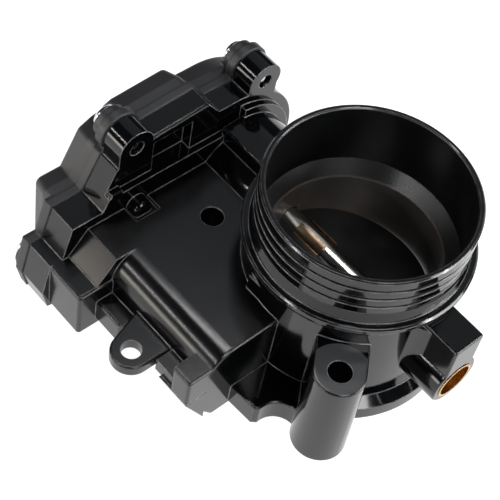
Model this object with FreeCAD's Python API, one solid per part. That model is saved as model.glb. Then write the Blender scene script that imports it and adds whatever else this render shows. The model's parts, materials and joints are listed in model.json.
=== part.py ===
import FreeCAD, Part
import math
import os

# Electronic throttle body, in millimetres.
# X runs along the throttle shaft, from the gear housing (-X) to the brass plug (+X).
# Y runs across the bore, away from the motor. Z runs up the bore.
# The origin is on the bore axis, in the plane of the bottom mounting flange.

os.makedirs("parts", exist_ok=True)

# ---------------------------------------------------------------- fits and clearances
RUNNING_GAP = 0.05       # a shaft in its bearing
SEAT_GAP = 0.03          # a part that sits still in its seat
LOOSE_GAP = 0.3          # parts that pass without touching
PLATE_GAP = 0.2          # throttle plate to bore, on the radius

# ---------------------------------------------------------------- bore and spigot
SPIGOT_TOP = 69.5
SPIGOT_R = 35.0
INLET_R = 33.0
INLET_DEPTH = 24.5       # from the spigot's top to the start of the seat cone
CONE_HEIGHT = 5.0
SEAT_R = 29.0
BAND_COUNT = 4
BAND_PITCH = 3.95
BAND_GROOVE = 0.8
BAND_GROOVE_DEPTH = 0.9
RIM_CHAMFER = 0.5
LIP_R = 38.1
LIP_TOP = 49.5
LIP_THICK = 2.6
BODY_R = 36.0
FLANGE_R = 40.0
FLANGE_THICK = 5.5
OUTLET_CHAMFER = 1.0

# ---------------------------------------------------------------- throttle shaft and plate
SHAFT_Z = 25.3
SHAFT_R = 4.0
SHAFT_CUP_END = 43.0     # x of the end under the brass plug
PLATE_THICK = 2.0
PLATE_REST_TILT = 12.0   # spring-held opening, degrees from closed
CLIP_X = 16.0
CLIP_WIDTH = 12.0
CLIP_THICK = 0.6
CLIP_FOOT = 1.2
CLIP_LIP_Y = 1.7         # how near the shaft's crown the clip's upper lip comes

# ---------------------------------------------------------------- shaft boss and bearings
BOSS_END_X = 50.3
BOSS_R = 9.3
BOSS_HALF_WIDTH = 6.2
BOSS_TOP_Z = 46.0
BEARING_OR = 7.0
CUP_BEARING_LENGTH = 8.0
DRIVE_BEARING_LENGTH = 9.0
PLUG_OR = BEARING_OR      # pressed into the bearing's own bore
PLUG_WALL = 0.9
PLUG_LENGTH = 5.6
PLUG_STOP = 0.6          # from the pressed plug to the bearing
CUP_BEARING_X = BOSS_END_X - PLUG_LENGTH - PLUG_STOP - CUP_BEARING_LENGTH
SEAL_LENGTH = 3.0

# ---------------------------------------------------------------- gear housing (opens to -X)
PART_X = -69.0           # face where the cover meets the housing
FLOOR_X = -62.2          # inner floor of the gear housing
TUB_WALL = 2.6
LOW_FRONT_X = -58.0      # front wall below the ledge
HIGH_FRONT_X = -60.5     # front wall above the ledge
LEDGE_Z = 43.0
DISC_R = 28.4
TOP_PANEL_Z = SHAFT_Z + DISC_R
BUMP_Z = 60.0
BOX_TOP_Z = 38.2
STEP_Z = 25.0
BARREL_R = 21.5
BARREL_END_X = -33.0
RIDGE_Y = -6.6
SPRING_BAY_R = 13.8
SPRING_BAY_WALL = 2.4
SPRING_BAY_END_X = -48.0
BUMP_ROUND = 1.3         # rounded front edge over the bump
RECESS_X = -64.4         # back of the recess in the front wall, above the ledge
RECESS_Y = (-35.5, -19.6)
RECESS_TOP_Z = 56.0
RECESS_WALL = 2.0
LEDGE_PAD_X = -61.0
LEDGE_PAD_Y = (-53.4, -48.9)
LEDGE_PAD_TOP_Z = 44.4

# ---------------------------------------------------------------- motor
MOTOR_Y = -47.0
MOTOR_Z = 17.0
MOTOR_R = 13.7
MOTOR_WALL = 1.2
MOTOR_CAN_FRONT_X = -50.0
MOTOR_CAN_LENGTH = 49.0
MOTOR_BAY_R = MOTOR_R + LOOSE_GAP
MOTOR_SHAFT_R = 1.5
END_CAP_LENGTH = 7.0
END_PLATE_THICK = 1.6
ARMATURE_R = 9.0
MAGNET_THICK = 2.6
MOTOR_LUG_R = 3.6
MOTOR_LUG_REACH = 3.4
MOTOR_LUG_ANGLES = (135.0, 330.0)
MOTOR_SCREW_R = 1.5

# ---------------------------------------------------------------- deck over the motor
DECK_Z = 34.3
DECK_END_X = 4.3
DECK_BACK_Y = -13.0
SIDE_Y = -63.5
SIDE_CORNER_R = 9.5
UNDERSIDE_Z = 0.4
DECK_LUG_X = (-11.5, -1.8)
DECK_LUG_Y = (-35.6, -28.0)
DECK_LUG_HEIGHT = 6.5
DECK_RECESS_X = -51.4     # near side of the small pocket against the gear housing
DECK_RECESS_Y = (-47.8, -38.2)
DECK_RECESS_DEPTH = 1.4
NUB_X = -53.2             # round end of the nub that stands in the pocket
NUB_Y = -43.2
NUB_R = 3.6

# ---------------------------------------------------------------- mounting holes
BOLT_CIRCLE_R = 47.0
BOLT_HOLE_R = 3.9
FRONT_POST_ANGLE = -48.7
DECK_POST_ANGLE = -145.8
REAR_POST_ANGLE = 82.7
FRONT_POST_TOP = 39.0
REAR_POST_TOP = 18.0
POST_R = 8.5
POST_DRAFT = 0.8         # extra radius at the foot

# ---------------------------------------------------------------- gears
PINION_MODULE = 0.7
PINION_TEETH = 13
WHEEL_TEETH = 52
DRIVE_MODULE = 0.9
IDLER_TEETH = 14
SECTOR_TEETH = 48
BACKLASH = 0.16
TIP_CLEARANCE = 0.25     # in modules
PRESSURE_ANGLE = math.radians(20)
SECTOR_FACE = 4.8
WHEEL_FACE = 4.0
SECTOR_X = -68.4         # far face of the sector
WHEEL_X = -74.2          # far face of the idler's large wheel
SECTOR_HUB_R = 8.0
MAGNET_R = 5.6
MAGNET_LENGTH = 3.0
IDLER_PIN_R = 2.5
OPEN_TRAVEL = 78.0       # from rest to wide open
CLOSE_TRAVEL = 12.0      # from rest to closed

# ---------------------------------------------------------------- return spring
SPRING_WIRE_R = 0.9
SPRING_COIL_R = 11.0
SPRING_TURNS = 4
SPRING_PITCH = 2.3

# ---------------------------------------------------------------- cover and its screws
COVER_END_X = -83.5
COVER_OVERHANG = 0.4     # how far the rim stands out past the housing
COVER_RIM = 3.2          # depth of the rim
COVER_STEP = 0.9         # how far the faces behind the rim step in
COVER_BEND_X = -76.5     # where the straight faces turn into sloped ones
COVER_SLOPE = 2.0        # how far the sloped faces come in
COVER_DEEP_Y = -67.0     # side of the deep part; the step beside it stays shallow
COVER_SHELF_X = -73.4    # outer face of the shallow part
COVER_CORNER_R = 2.6     # rounded corners of the deep part's outline
COVER_EDGE_R = 1.6       # rounded edge of the cover's end face
DIAL_R = 13.0            # raised disc on the end face
DIAL_RISE = 1.4
COVER_WALL = 2.2
SCREW_R = 2.0
SCREW_HEAD_R = 4.6
SCREW_HEAD_HEIGHT = 3.0
SCREW_HEAD_ROUND = 1.9
SCREW_SOCKET_R = 1.6
SCREW_SOCKET_DEPTH = 1.3
SCREW_TIP_X = -62.6
SCREW_SEAT_X = -75.6
POST_BOSS_R = 6.75
COVER_BOSS_R = 7.5
COVER_BOSS_NECK_R = 6.0
SCREW_PLACES = ((-42.5, 58.0), (11.6, 56.2), (-72.0, 11.5), (21.0, 1.5))
GASKET_WIDTH = 1.2
GASKET_DEPTH = 1.0

# ---------------------------------------------------------------- position sensor
SENSOR_X = -78.1
SENSOR_THICK = 1.4
SENSOR_HALF = 9.0
SENSOR_PAD_HALF = 10.0

# ---------------------------------------------------------------- connector, under the cover
PLUG_X = -73.6
PLUG_Y = -38.0
PLUG_HALF_X = 6.0
PLUG_HALF_Y = 12.5
SHROUD_WALL = 1.6
SHROUD_BOTTOM_Z = -16.0
PIN_COUNT = 6
PIN_PITCH = 3.2
PIN_HALF = 0.5
PIN_BOTTOM_Z = -12.5
PIN_TOP_Z = 3.0
SOCKET_FLOOR_Z = -4.6

# ---------------------------------------------------------------- flange seal
SEAL_GROOVE_R = 33.5
SEAL_WIDTH = 3.0
SEAL_DEPTH = 2.4

# ---------------------------------------------------------------- side ear
EAR_X = -19.5
EAR_Y = -74.0
EAR_TOP_Z = 22.7
EAR_THICK = 4.0
EAR_R = 6.8
EAR_HOLE_R = 3.35
EAR_ROOT_X = -30.0


def vec(x, y, z):
    return FreeCAD.Vector(x, y, z)


def box(x0, x1, y0, y1, z0, z1):
    return Part.makeBox(x1 - x0, y1 - y0, z1 - z0, vec(x0, y0, z0))


def rod_z(radius, z0, z1, x=0.0, y=0.0):
    return Part.makeCylinder(radius, z1 - z0, vec(x, y, z0))


def rod_x(radius, x0, x1, y=0.0, z=SHAFT_Z):
    return Part.makeCylinder(radius, x1 - x0, vec(x0, y, z), vec(1, 0, 0))


def tube_x(outer, inner, x0, x1, y=0.0, z=SHAFT_Z):
    return rod_x(outer, x0, x1, y, z).cut(rod_x(inner, x0 - 1, x1 + 1, y, z))


def join(first, *others):
    return first.multiFuse(list(others)).removeSplitter()


def one_solid(shape):
    """The shape's single solid, so that each STEP holds a plain solid."""
    return shape.Solids[0] if len(shape.Solids) == 1 else shape


def outline(points):
    """A closed wire. A point given as a pair of points is an arc: through the first, to the second."""
    edges = []
    start = points[0]
    for item in list(points[1:]) + [points[0]]:
        if isinstance(item, tuple):
            through, end = item
            edges.append(Part.Arc(start, through, end).toShape())
        else:
            end = item
            edges.append(Part.LineSegment(start, end).toShape())
        start = end
    return Part.Wire(edges)


def prism_x(wire, x0, x1):
    """A wire drawn at x = 0 becomes a solid from x0 to x1."""
    face = Part.Face(wire)
    face.translate(vec(x0, 0, 0))
    return face.extrude(vec(x1 - x0, 0, 0))


def prism_z(wire, z0, z1):
    face = Part.Face(wire)
    face.translate(vec(0, 0, z0))
    return face.extrude(vec(0, 0, z1 - z0))


def yz(*pairs):
    """Points in the plane x = 0. A pair of pairs is an arc, as in outline."""
    points = []
    for pair in pairs:
        if isinstance(pair[0], tuple):
            points.append((vec(0, *pair[0]), vec(0, *pair[1])))
        else:
            points.append(vec(0, *pair))
    return points


def fillet_where(shape, radius, test):
    """Rounds the edges whose midpoint and direction pass the test."""
    chosen = []
    for edge in shape.Edges:
        middle = edge.valueAt((edge.FirstParameter + edge.LastParameter) / 2)
        if test(edge, middle):
            chosen.append(edge)
    return shape.makeFillet(radius, chosen)


def polar(radius, degrees):
    return radius * math.cos(math.radians(degrees)), radius * math.sin(math.radians(degrees))


# ---------------------------------------------------------------- bore
def bore_outside():
    """Flange, body, lip and the ribbed spigot, turned about the bore axis."""
    lip_bottom = LIP_TOP - LIP_THICK
    ribs_bottom = SPIGOT_TOP - BAND_COUNT * BAND_PITCH - BAND_GROOVE
    profile = [(0, 0), (FLANGE_R, 0), (FLANGE_R, FLANGE_THICK), (BODY_R, FLANGE_THICK + 2)]
    profile += [(BODY_R, lip_bottom - 3.0), (LIP_R - 0.6, lip_bottom), (LIP_R, lip_bottom + 0.6)]
    profile += [(LIP_R, LIP_TOP - 0.6), (LIP_R - 0.6, LIP_TOP), (SPIGOT_R + 0.6, LIP_TOP)]
    profile += [(SPIGOT_R - BAND_GROOVE_DEPTH, ribs_bottom)]
    for band in range(BAND_COUNT):
        low = ribs_bottom + BAND_GROOVE + band * BAND_PITCH
        high = low + BAND_PITCH - BAND_GROOVE
        if band == BAND_COUNT - 1:
            high = SPIGOT_TOP - RIM_CHAMFER
        profile += [(SPIGOT_R - 0.35, low), (SPIGOT_R, low + 0.35), (SPIGOT_R, high)]
        if band < BAND_COUNT - 1:
            profile += [(SPIGOT_R - BAND_GROOVE_DEPTH, high + 0.35)]
            profile += [(SPIGOT_R - BAND_GROOVE_DEPTH, high + BAND_GROOVE)]
    profile += [(SPIGOT_R - RIM_CHAMFER, SPIGOT_TOP), (0, SPIGOT_TOP)]
    wire = outline([vec(r, 0, z) for r, z in profile])
    return Part.Face(wire).revolve(vec(0, 0, 0), vec(0, 0, 1), 360)


def bore_inside():
    """The air passage: inlet, cone, seat bore and a small outlet chamfer."""
    cone_top = SPIGOT_TOP - INLET_DEPTH
    seat_top = cone_top - CONE_HEIGHT
    profile = [(0, -1), (SEAT_R + OUTLET_CHAMFER, -1), (SEAT_R + OUTLET_CHAMFER, 0)]
    profile += [(SEAT_R, OUTLET_CHAMFER), (SEAT_R, seat_top), (INLET_R, cone_top)]
    profile += [(INLET_R, SPIGOT_TOP - 0.4), (INLET_R + 0.4, SPIGOT_TOP), (INLET_R + 0.4, SPIGOT_TOP + 1)]
    profile += [(0, SPIGOT_TOP + 1)]
    wire = outline([vec(r, 0, z) for r, z in profile])
    return Part.Face(wire).revolve(vec(0, 0, 0), vec(0, 0, 1), 360)


# ---------------------------------------------------------------- gear housing outline
def tub_outline():
    """Outline of the gear housing and its cover, in the plane across the shaft."""
    low_z = SHAFT_Z - DISC_R
    return yz(
        (0, low_z),
        ((DISC_R, SHAFT_Z), (0, TOP_PANEL_Z)),
        (-8, TOP_PANEL_Z),
        (-13, BUMP_Z),
        (-36, BUMP_Z - 1.5),
        (-50, 52),
        (-56.5, BOX_TOP_Z),
        (-68.5, BOX_TOP_Z),
        (-72, STEP_Z),
        (-76.8, STEP_Z),
        (-79.6, 12),
        (-77.5, 3.5),
        (-60, low_z + 2),
    )


def grown(wire, amount):
    """The outline, moved outwards or (negative) inwards, with its corners kept."""
    return Part.Face(wire).makeOffset2D(amount, 2).OuterWire


def tub_outside():
    tub = prism_x(outline(tub_outline()), PART_X, LOW_FRONT_X)
    above = box(HIGH_FRONT_X, LOW_FRONT_X + 1, -90, 2, LEDGE_Z, 80)
    disc_front = box(HIGH_FRONT_X, LOW_FRONT_X + 1, 0, 60, -20, 80)
    disc_front = disc_front.cut(rod_x(DISC_R - 3.5, HIGH_FRONT_X - 1, LOW_FRONT_X + 2))
    tub = tub.cut(above).cut(disc_front)
    tub = fillet_where(tub, BUMP_ROUND, lambda e, m: m.x > HIGH_FRONT_X - 0.01 and m.z > BUMP_Z - 1.0)
    pad = box(LEDGE_PAD_X, LOW_FRONT_X, *LEDGE_PAD_Y, LEDGE_Z - 1, LEDGE_PAD_TOP_Z)
    pad = fillet_where(pad, 0.5, lambda e, m: m.z > LEDGE_PAD_TOP_Z - 0.01)
    return tub.cut(front_recess()).fuse(pad)


def front_recess():
    """Recess in the front wall over the ledge, between the bump and the first screw post."""
    return box(RECESS_X, LOW_FRONT_X + 1, *RECESS_Y, LEDGE_Z, RECESS_TOP_Z)


def recess_backing():
    """The room the recess and its walls take up inside the gear space."""
    low_y, high_y = RECESS_Y
    low_z = LEDGE_Z - RECESS_WALL
    return box(RECESS_X - RECESS_WALL, FLOOR_X + 1, low_y - TUB_WALL, high_y + TUB_WALL, low_z, BUMP_Z)


def screw_posts():
    """Round-topped bosses that take the cover screws, with legs down to the housing."""
    posts = []
    for y, z in SCREW_PLACES:
        posts.append(rod_x(POST_BOSS_R, PART_X, HIGH_FRONT_X, y, z))
    y, z = SCREW_PLACES[0]
    posts.append(box(PART_X, HIGH_FRONT_X, y - POST_BOSS_R, y + POST_BOSS_R, LEDGE_Z - 1, z))
    y, z = SCREW_PLACES[1]
    posts.append(box(PART_X, HIGH_FRONT_X, y - POST_BOSS_R, y + POST_BOSS_R - 1, z - 12, z))
    y, z = SCREW_PLACES[3]
    posts.append(box(PART_X, HIGH_FRONT_X, y - POST_BOSS_R, y, z - 2, z + 12))
    return posts


def screw_holes():
    """Clearance for the screw shanks, with an open counterbore at each post's front."""
    holes = []
    for y, z in SCREW_PLACES:
        holes.append(rod_x(SCREW_R + SEAT_GAP, PART_X - 1, SCREW_TIP_X + 1.0, y, z))
        holes.append(rod_x(SCREW_R + 0.7, SCREW_TIP_X - 0.6, LOW_FRONT_X + 1, y, z))
    return holes


def tub_inside():
    """The gear space, less the walls that stand around the screw holes."""
    inner = prism_x(grown(outline(tub_outline()), -TUB_WALL), PART_X - 1, FLOOR_X)
    for y, z in SCREW_PLACES:
        inner = inner.cut(rod_x(SCREW_R + TUB_WALL, PART_X - 2, FLOOR_X + 1, y, z))
    return inner.cut(recess_backing())


# ---------------------------------------------------------------- deck and motor bay
def deck_block():
    """Flat deck with the motor's rounded side, from the gear housing to the bay's end."""
    corner_y = SIDE_Y + SIDE_CORNER_R
    corner_z = DECK_Z - SIDE_CORNER_R
    bend = SIDE_CORNER_R * math.sin(math.radians(45))
    points = yz(
        (-20, UNDERSIDE_Z),
        (-20, DECK_Z),
        (corner_y, DECK_Z),
        ((corner_y - bend, corner_z + bend), (SIDE_Y, corner_z)),
        (SIDE_Y, UNDERSIDE_Z + 6),
        (SIDE_Y + 4.5, UNDERSIDE_Z),
    )
    main = prism_x(outline(points), LOW_FRONT_X - 1, DECK_END_X)
    main = fillet_where(main, 1.0, lambda e, m: m.x > DECK_END_X - 0.01 and m.z > 1)
    strip = box(LOW_FRONT_X - 1, -30, -21, DECK_BACK_Y, UNDERSIDE_Z, DECK_Z)
    return [main, strip]


def deck_details():
    """Blocks and ledges around the motor bay."""
    panel = prism_x(
        outline(yz((SIDE_Y + 1.2, DECK_Z), (-69.5, STEP_Z + 0.6), (-69.5, 8), (-50, 8), (-50, DECK_Z))),
        LOW_FRONT_X - 1,
        -43,
    )
    low_block = box(LOW_FRONT_X - 1, -42.3, -76.8, -60, 5, STEP_Z)
    low_block = fillet_where(low_block, 1.2, lambda e, m: m.x > -42.4 or m.y < -76.7)
    skirt = box(-43, -30, -70, -60, 9, 18.5)
    skirt = fillet_where(skirt, 1.0, lambda e, m: m.y < -69.9)
    end_block = box(-3.6, DECK_END_X, -71, -58, 17.6, 30.2)
    end_block = fillet_where(end_block, 1.0, lambda e, m: m.y < -70.9 or m.x > DECK_END_X - 0.1)
    ledge = box(-12, -3, -70, -60, 17.6, EAR_TOP_Z)
    slope = prism_x(outline(yz((-71, 17.7), (-62, 2), (-62, 17.7))), -9, DECK_END_X)
    lug = box(*DECK_LUG_X, *DECK_LUG_Y, DECK_Z - 1, DECK_Z + DECK_LUG_HEIGHT)
    lug = fillet_where(lug, 0.6, lambda e, m: m.z > DECK_Z and m.y < DECK_LUG_Y[1] - 1)
    return [panel, low_block, skirt, end_block, ledge, slope, lug]


def shaft_barrel():
    """Round barrel over the return spring, waisted on the deck side, with a flat ridge along its top."""
    barrel = rod_x(BARREL_R, LOW_FRONT_X - 1, BARREL_END_X)
    waist = box(LOW_FRONT_X - 2, BARREL_END_X + 1, -BARREL_R - 1, RIDGE_Y, SHAFT_Z, 80)
    waist = waist.cut(rod_x(SPRING_BAY_R + SPRING_BAY_WALL, LOW_FRONT_X - 3, BARREL_END_X + 2))
    ridge_top = SHAFT_Z + BARREL_R - 0.4
    ridge = box(LOW_FRONT_X - 1, BARREL_END_X, RIDGE_Y, 2.5, SHAFT_Z, ridge_top)
    ridge = fillet_where(ridge, 0.8, lambda e, m: m.z > ridge_top - 0.1 and m.y < RIDGE_Y + 0.1)
    return [barrel.cut(waist), ridge]


def motor_bay():
    """The motor's round bay, open to the gear space."""
    end_x = MOTOR_CAN_FRONT_X + MOTOR_CAN_LENGTH + LOOSE_GAP
    return rod_x(MOTOR_BAY_R, FLOOR_X - 1, end_x, MOTOR_Y, MOTOR_Z)


def deck_pockets():
    """Cored-out underside between the motor bay and the bore, with the bolt column left standing."""
    hole_x, hole_y = polar(BOLT_CIRCLE_R, DECK_POST_ANGLE)
    pocket = box(-55.5, 1.5, -30.4, -15.5, UNDERSIDE_Z - 1, DECK_Z - 2.8)
    pocket = pocket.cut(rod_z(BODY_R, -2, 60)).cut(rod_z(POST_R - 1.3, -2, 60, hole_x, hole_y))
    for rib_x in (-52.0, -24.0, -13.0):
        pocket = pocket.cut(box(rib_x - 0.9, rib_x + 0.9, -40, 0, -2, 60))
    return pocket


def deck_recess():
    """A small square pocket in the deck against the gear housing's wall."""
    return box(LOW_FRONT_X, DECK_RECESS_X, *DECK_RECESS_Y, DECK_Z - DECK_RECESS_DEPTH, DECK_Z + 1)


def deck_nub():
    """Half-round nub that stands in the deck's pocket."""
    nub = rod_x(NUB_R, LOW_FRONT_X - 1, NUB_X, NUB_Y, DECK_Z)
    return fillet_where(nub, 1.4, lambda e, m: m.x > NUB_X - 0.1)


# ---------------------------------------------------------------- bosses and posts
def cup_boss():
    """The +X shaft boss: a round barrel with a flat-topped block over it."""
    barrel = rod_x(BOSS_R, SEAT_R + 2, BOSS_END_X)
    barrel = fillet_where(barrel, 0.8, lambda e, m: m.x > BOSS_END_X - 0.1)
    block = box(SEAT_R + 2, BOSS_END_X, -BOSS_HALF_WIDTH, BOSS_HALF_WIDTH, SHAFT_Z, BOSS_TOP_Z)
    block = fillet_where(block, 0.8, lambda e, m: m.z > BOSS_TOP_Z - 0.1 or (
        m.x > BOSS_END_X - 0.1 and m.z > SHAFT_Z + 0.1))
    gusset = prism_z(
        outline([
            vec(BODY_R + 8, -BOSS_HALF_WIDTH + 0.5, 0),
            (vec(BODY_R + 1.3, -BOSS_HALF_WIDTH - 1.2, 0), vec(BODY_R - 1.3, -BOSS_HALF_WIDTH - 3.4, 0)),
            vec(SEAT_R + 2, -BOSS_HALF_WIDTH, 0),
        ]),
        SHAFT_Z,
        BOSS_TOP_Z - 1.5,
    )
    return [barrel, block, gusset]


def post(angle, top):
    """A bolt column with a little draft, and a web as wide as the column back to the bore body."""
    x, y = polar(BOLT_CIRCLE_R, angle)
    column = Part.makeCone(POST_R + POST_DRAFT, POST_R, top, vec(x, y, 0))
    whole = join(column, post_web(angle, top))
    return fillet_where(whole, 0.8, lambda e, m: m.z > top - 0.1 and math.hypot(m.x, m.y) > BODY_R + 1)


def post_web(angle, top):
    inner_x, inner_y = polar(SEAT_R + 2, angle)
    outer_x, outer_y = polar(BOLT_CIRCLE_R, angle)
    side_x, side_y = polar(POST_R, angle + 90)
    corners = [
        vec(inner_x + side_x, inner_y + side_y, 0),
        vec(outer_x + side_x, outer_y + side_y, 0),
        vec(outer_x - side_x, outer_y - side_y, 0),
        vec(inner_x - side_x, inner_y - side_y, 0),
    ]
    return prism_z(outline(corners), 0, top)


def bolt_hole(angle):
    x, y = polar(BOLT_CIRCLE_R, angle)
    return rod_z(BOLT_HOLE_R, -1, 60, x, y)


def front_lug():
    """The low lug between the motor bay's end and the front post, scalloped towards the post."""
    corners = [
        vec(DECK_END_X - 2, -51.5, 0),
        vec(14.8, -50.8, 0),
        vec(16.2, -49.2, 0),
        (vec(19.4, -41.8, 0), vec(24.5, -40.5, 0)),
        vec(24, -28, 0),
        vec(DECK_END_X - 2, -28, 0),
    ]
    lug = prism_z(outline(corners), 1.6, 10.5)
    return fillet_where(lug, 0.7, lambda e, m: m.z > 10.4)


def ear():
    """Flat bracket on the motor side with a round end and one hole."""
    reach = math.hypot(EAR_X - EAR_ROOT_X, EAR_Y - SIDE_Y)
    heading = math.degrees(math.atan2(EAR_Y - SIDE_Y, EAR_X - EAR_ROOT_X))
    lean = math.degrees(math.asin(EAR_R / reach))
    touch = polar(math.sqrt(reach ** 2 - EAR_R ** 2), heading - lean)
    corners = [
        vec(EAR_ROOT_X, SIDE_Y + 2, 0),
        vec(EAR_ROOT_X, SIDE_Y, 0),
        vec(EAR_ROOT_X + touch[0], SIDE_Y + touch[1], 0),
        vec(EAR_X, EAR_Y, 0),
        vec(EAR_X + EAR_R, EAR_Y, 0),
        vec(EAR_X + EAR_R, SIDE_Y + 2, 0),
    ]
    plate = prism_z(outline(corners), EAR_TOP_Z - EAR_THICK, EAR_TOP_Z)
    end = rod_z(EAR_R, EAR_TOP_Z - EAR_THICK, EAR_TOP_Z, EAR_X, EAR_Y)
    whole = join(plate, end)
    return fillet_where(whole, 0.6, lambda e, m: abs(m.z - EAR_TOP_Z) < 0.01 and m.y < SIDE_Y - 1)


# ---------------------------------------------------------------- housing
def housing():
    solids = [bore_outside(), tub_outside()]
    solids += screw_posts()
    solids += deck_block() + deck_details() + shaft_barrel() + cup_boss()
    solids += [post(FRONT_POST_ANGLE, FRONT_POST_TOP), post(REAR_POST_ANGLE, REAR_POST_TOP)]
    solids += [front_lug(), ear()]
    body = join(join(*solids).cut(deck_recess()), deck_nub())
    cuts = [bore_inside(), tub_inside(), motor_bay(), deck_pockets()]
    cuts += screw_holes()
    cuts += [bolt_hole(a) for a in (FRONT_POST_ANGLE, DECK_POST_ANGLE, REAR_POST_ANGLE)]
    cuts.append(rod_z(EAR_HOLE_R, 0, 30, EAR_X, EAR_Y))
    cuts.append(rod_x(SPRING_BAY_R, FLOOR_X - 1, SPRING_BAY_END_X))
    cuts.append(rod_x(BEARING_OR + SEAT_GAP, SPRING_BAY_END_X - 1, SPRING_BAY_END_X + DRIVE_BEARING_LENGTH))
    cuts.append(rod_x(SHAFT_R + LOOSE_GAP, SPRING_BAY_END_X, SEAT_R + 12))
    cuts.append(rod_x(BEARING_OR + SEAT_GAP, CUP_BEARING_X, BOSS_END_X + 1))
    idler_y, idler_z = idler_centre()
    cuts.append(rod_x(IDLER_PIN_R + SEAT_GAP, FLOOR_X - 1, FLOOR_X + 3.4, idler_y, idler_z))
    cuts.append(flange_groove())
    cuts.append(box(-57, -45, -74.4, -64, 4, STEP_Z - 2.6))
    for y, z in motor_screw_places():
        cuts.append(rod_x(MOTOR_SCREW_R + SEAT_GAP, FLOOR_X - 1, FLOOR_X + 5.8, y, z))
    return body.cut(cuts)


def flange_groove():
    outer = rod_z(SEAL_GROOVE_R + SEAL_WIDTH / 2, -1, SEAL_DEPTH)
    return outer.cut(rod_z(SEAL_GROOVE_R - SEAL_WIDTH / 2, -2, SEAL_DEPTH + 1))


def flange_seal():
    outer = rod_z(SEAL_GROOVE_R + SEAL_WIDTH / 2 - SEAT_GAP, 0, SEAL_DEPTH - SEAT_GAP)
    return outer.cut(rod_z(SEAL_GROOVE_R - SEAL_WIDTH / 2 + SEAT_GAP, -1, SEAL_DEPTH))


# ---------------------------------------------------------------- throttle shaft and plate
def tilted(shape):
    """Turns a part drawn with the plate flat into the spring-held rest position."""
    turned = shape.copy()
    turned.rotate(vec(0, 0, SHAFT_Z), vec(1, 0, 0), -PLATE_REST_TILT)
    return turned


def throttle_shaft():
    far_end = SECTOR_X - 0.4
    rod = rod_x(SHAFT_R, far_end, SHAFT_CUP_END)
    rod = fillet_where(rod, 0.4, lambda e, m: m.x > SHAFT_CUP_END - 0.1)
    flat = box(far_end - 1, FLOOR_X + 1.2, -10, 10, SHAFT_Z + SHAFT_R - 1.0, SHAFT_Z + 10)
    slot_half = PLATE_THICK / 2 + SEAT_GAP
    reach = SEAT_R - PLATE_GAP + LOOSE_GAP
    slot = box(-reach, reach, -10, 10, SHAFT_Z - slot_half, SHAFT_Z + slot_half)
    return tilted(rod.cut(flat).cut(slot))


def throttle_plate():
    radius = SEAT_R - PLATE_GAP
    disc = rod_z(radius, SHAFT_Z - PLATE_THICK / 2, SHAFT_Z + PLATE_THICK / 2)
    for side in (-1, 1):
        centre = side * CLIP_X
        half = CLIP_WIDTH / 2 + SEAT_GAP
        near = SHAFT_R + RUNNING_GAP - SEAT_GAP
        for edge in (-1, 1):
            y0, y1 = sorted((edge * near, edge * (near + CLIP_THICK + 2 * SEAT_GAP)))
            disc = disc.cut(box(centre - half, centre + half, y0, y1, SHAFT_Z - 5, SHAFT_Z + 5))
    return tilted(disc)


def plate_clips():
    """Two bronze clips that wrap under the shaft and hold the plate in its slot."""
    clips = []
    inner = SHAFT_R + RUNNING_GAP
    outer = inner + CLIP_THICK
    under_z = SHAFT_Z - PLATE_THICK / 2 - 0.3
    over_z = SHAFT_Z + PLATE_THICK / 2 + 0.3
    for side in (-1, 1):
        x0 = side * CLIP_X - CLIP_WIDTH / 2
        x1 = x0 + CLIP_WIDTH
        ring = tube_x(outer, inner, x0, x1)
        below = ring.common(box(x0 - 1, x1 + 1, -10, 10, SHAFT_Z - 10, under_z))
        above = ring.common(box(x0 - 1, x1 + 1, -10, -CLIP_LIP_Y, over_z, SHAFT_Z + 10))
        near_leg = box(x0, x1, -outer, -inner, under_z, over_z)
        far_leg = box(x0, x1, inner, outer, under_z, over_z + CLIP_FOOT)
        clips.append(one_solid(join(below, above, near_leg, far_leg)))
    return tilted(Part.makeCompound(clips))


# ---------------------------------------------------------------- gears
def gear_outline(module, teeth, first_angle, kept=None):
    """Involute gear outline at x = 0, centred on the origin, one tooth at first_angle (degrees)."""
    pitch_r = module * teeth / 2
    base_r = pitch_r * math.cos(PRESSURE_ANGLE)
    tip_r = pitch_r + module
    root_r = pitch_r - module * (1 + TIP_CLEARANCE)
    involute = math.tan(PRESSURE_ANGLE) - PRESSURE_ANGLE
    half_tooth = math.pi / (2 * teeth) - BACKLASH / (4 * pitch_r)

    def half_angle(radius):
        flank = math.acos(base_r / radius)
        return half_tooth + involute - (math.tan(flank) - flank)

    start_r = max(base_r, root_r)
    steps = [start_r + (tip_r - start_r) * k / 4 for k in range(5)]
    flank = [(root_r, half_angle(start_r))] if root_r < base_r else []
    flank += [(r, half_angle(r)) for r in steps]
    points = []
    for tooth in range(kept or teeth):
        middle = math.radians(first_angle) + 2 * math.pi * tooth / teeth
        rising = [(r, middle - a) for r, a in flank]
        falling = [(r, middle + a) for r, a in reversed(flank)]
        points += rising + falling
    return points


def gear(module, teeth, first_angle, centre, x0, x1):
    """A full gear as a solid about the X-parallel axis through centre (y, z)."""
    points = [vec(0, r * math.cos(a), r * math.sin(a)) for r, a in gear_outline(module, teeth, first_angle)]
    solid = prism_x(outline(points), x0, x1)
    solid.translate(vec(0, centre[0], centre[1]))
    return solid


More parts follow.
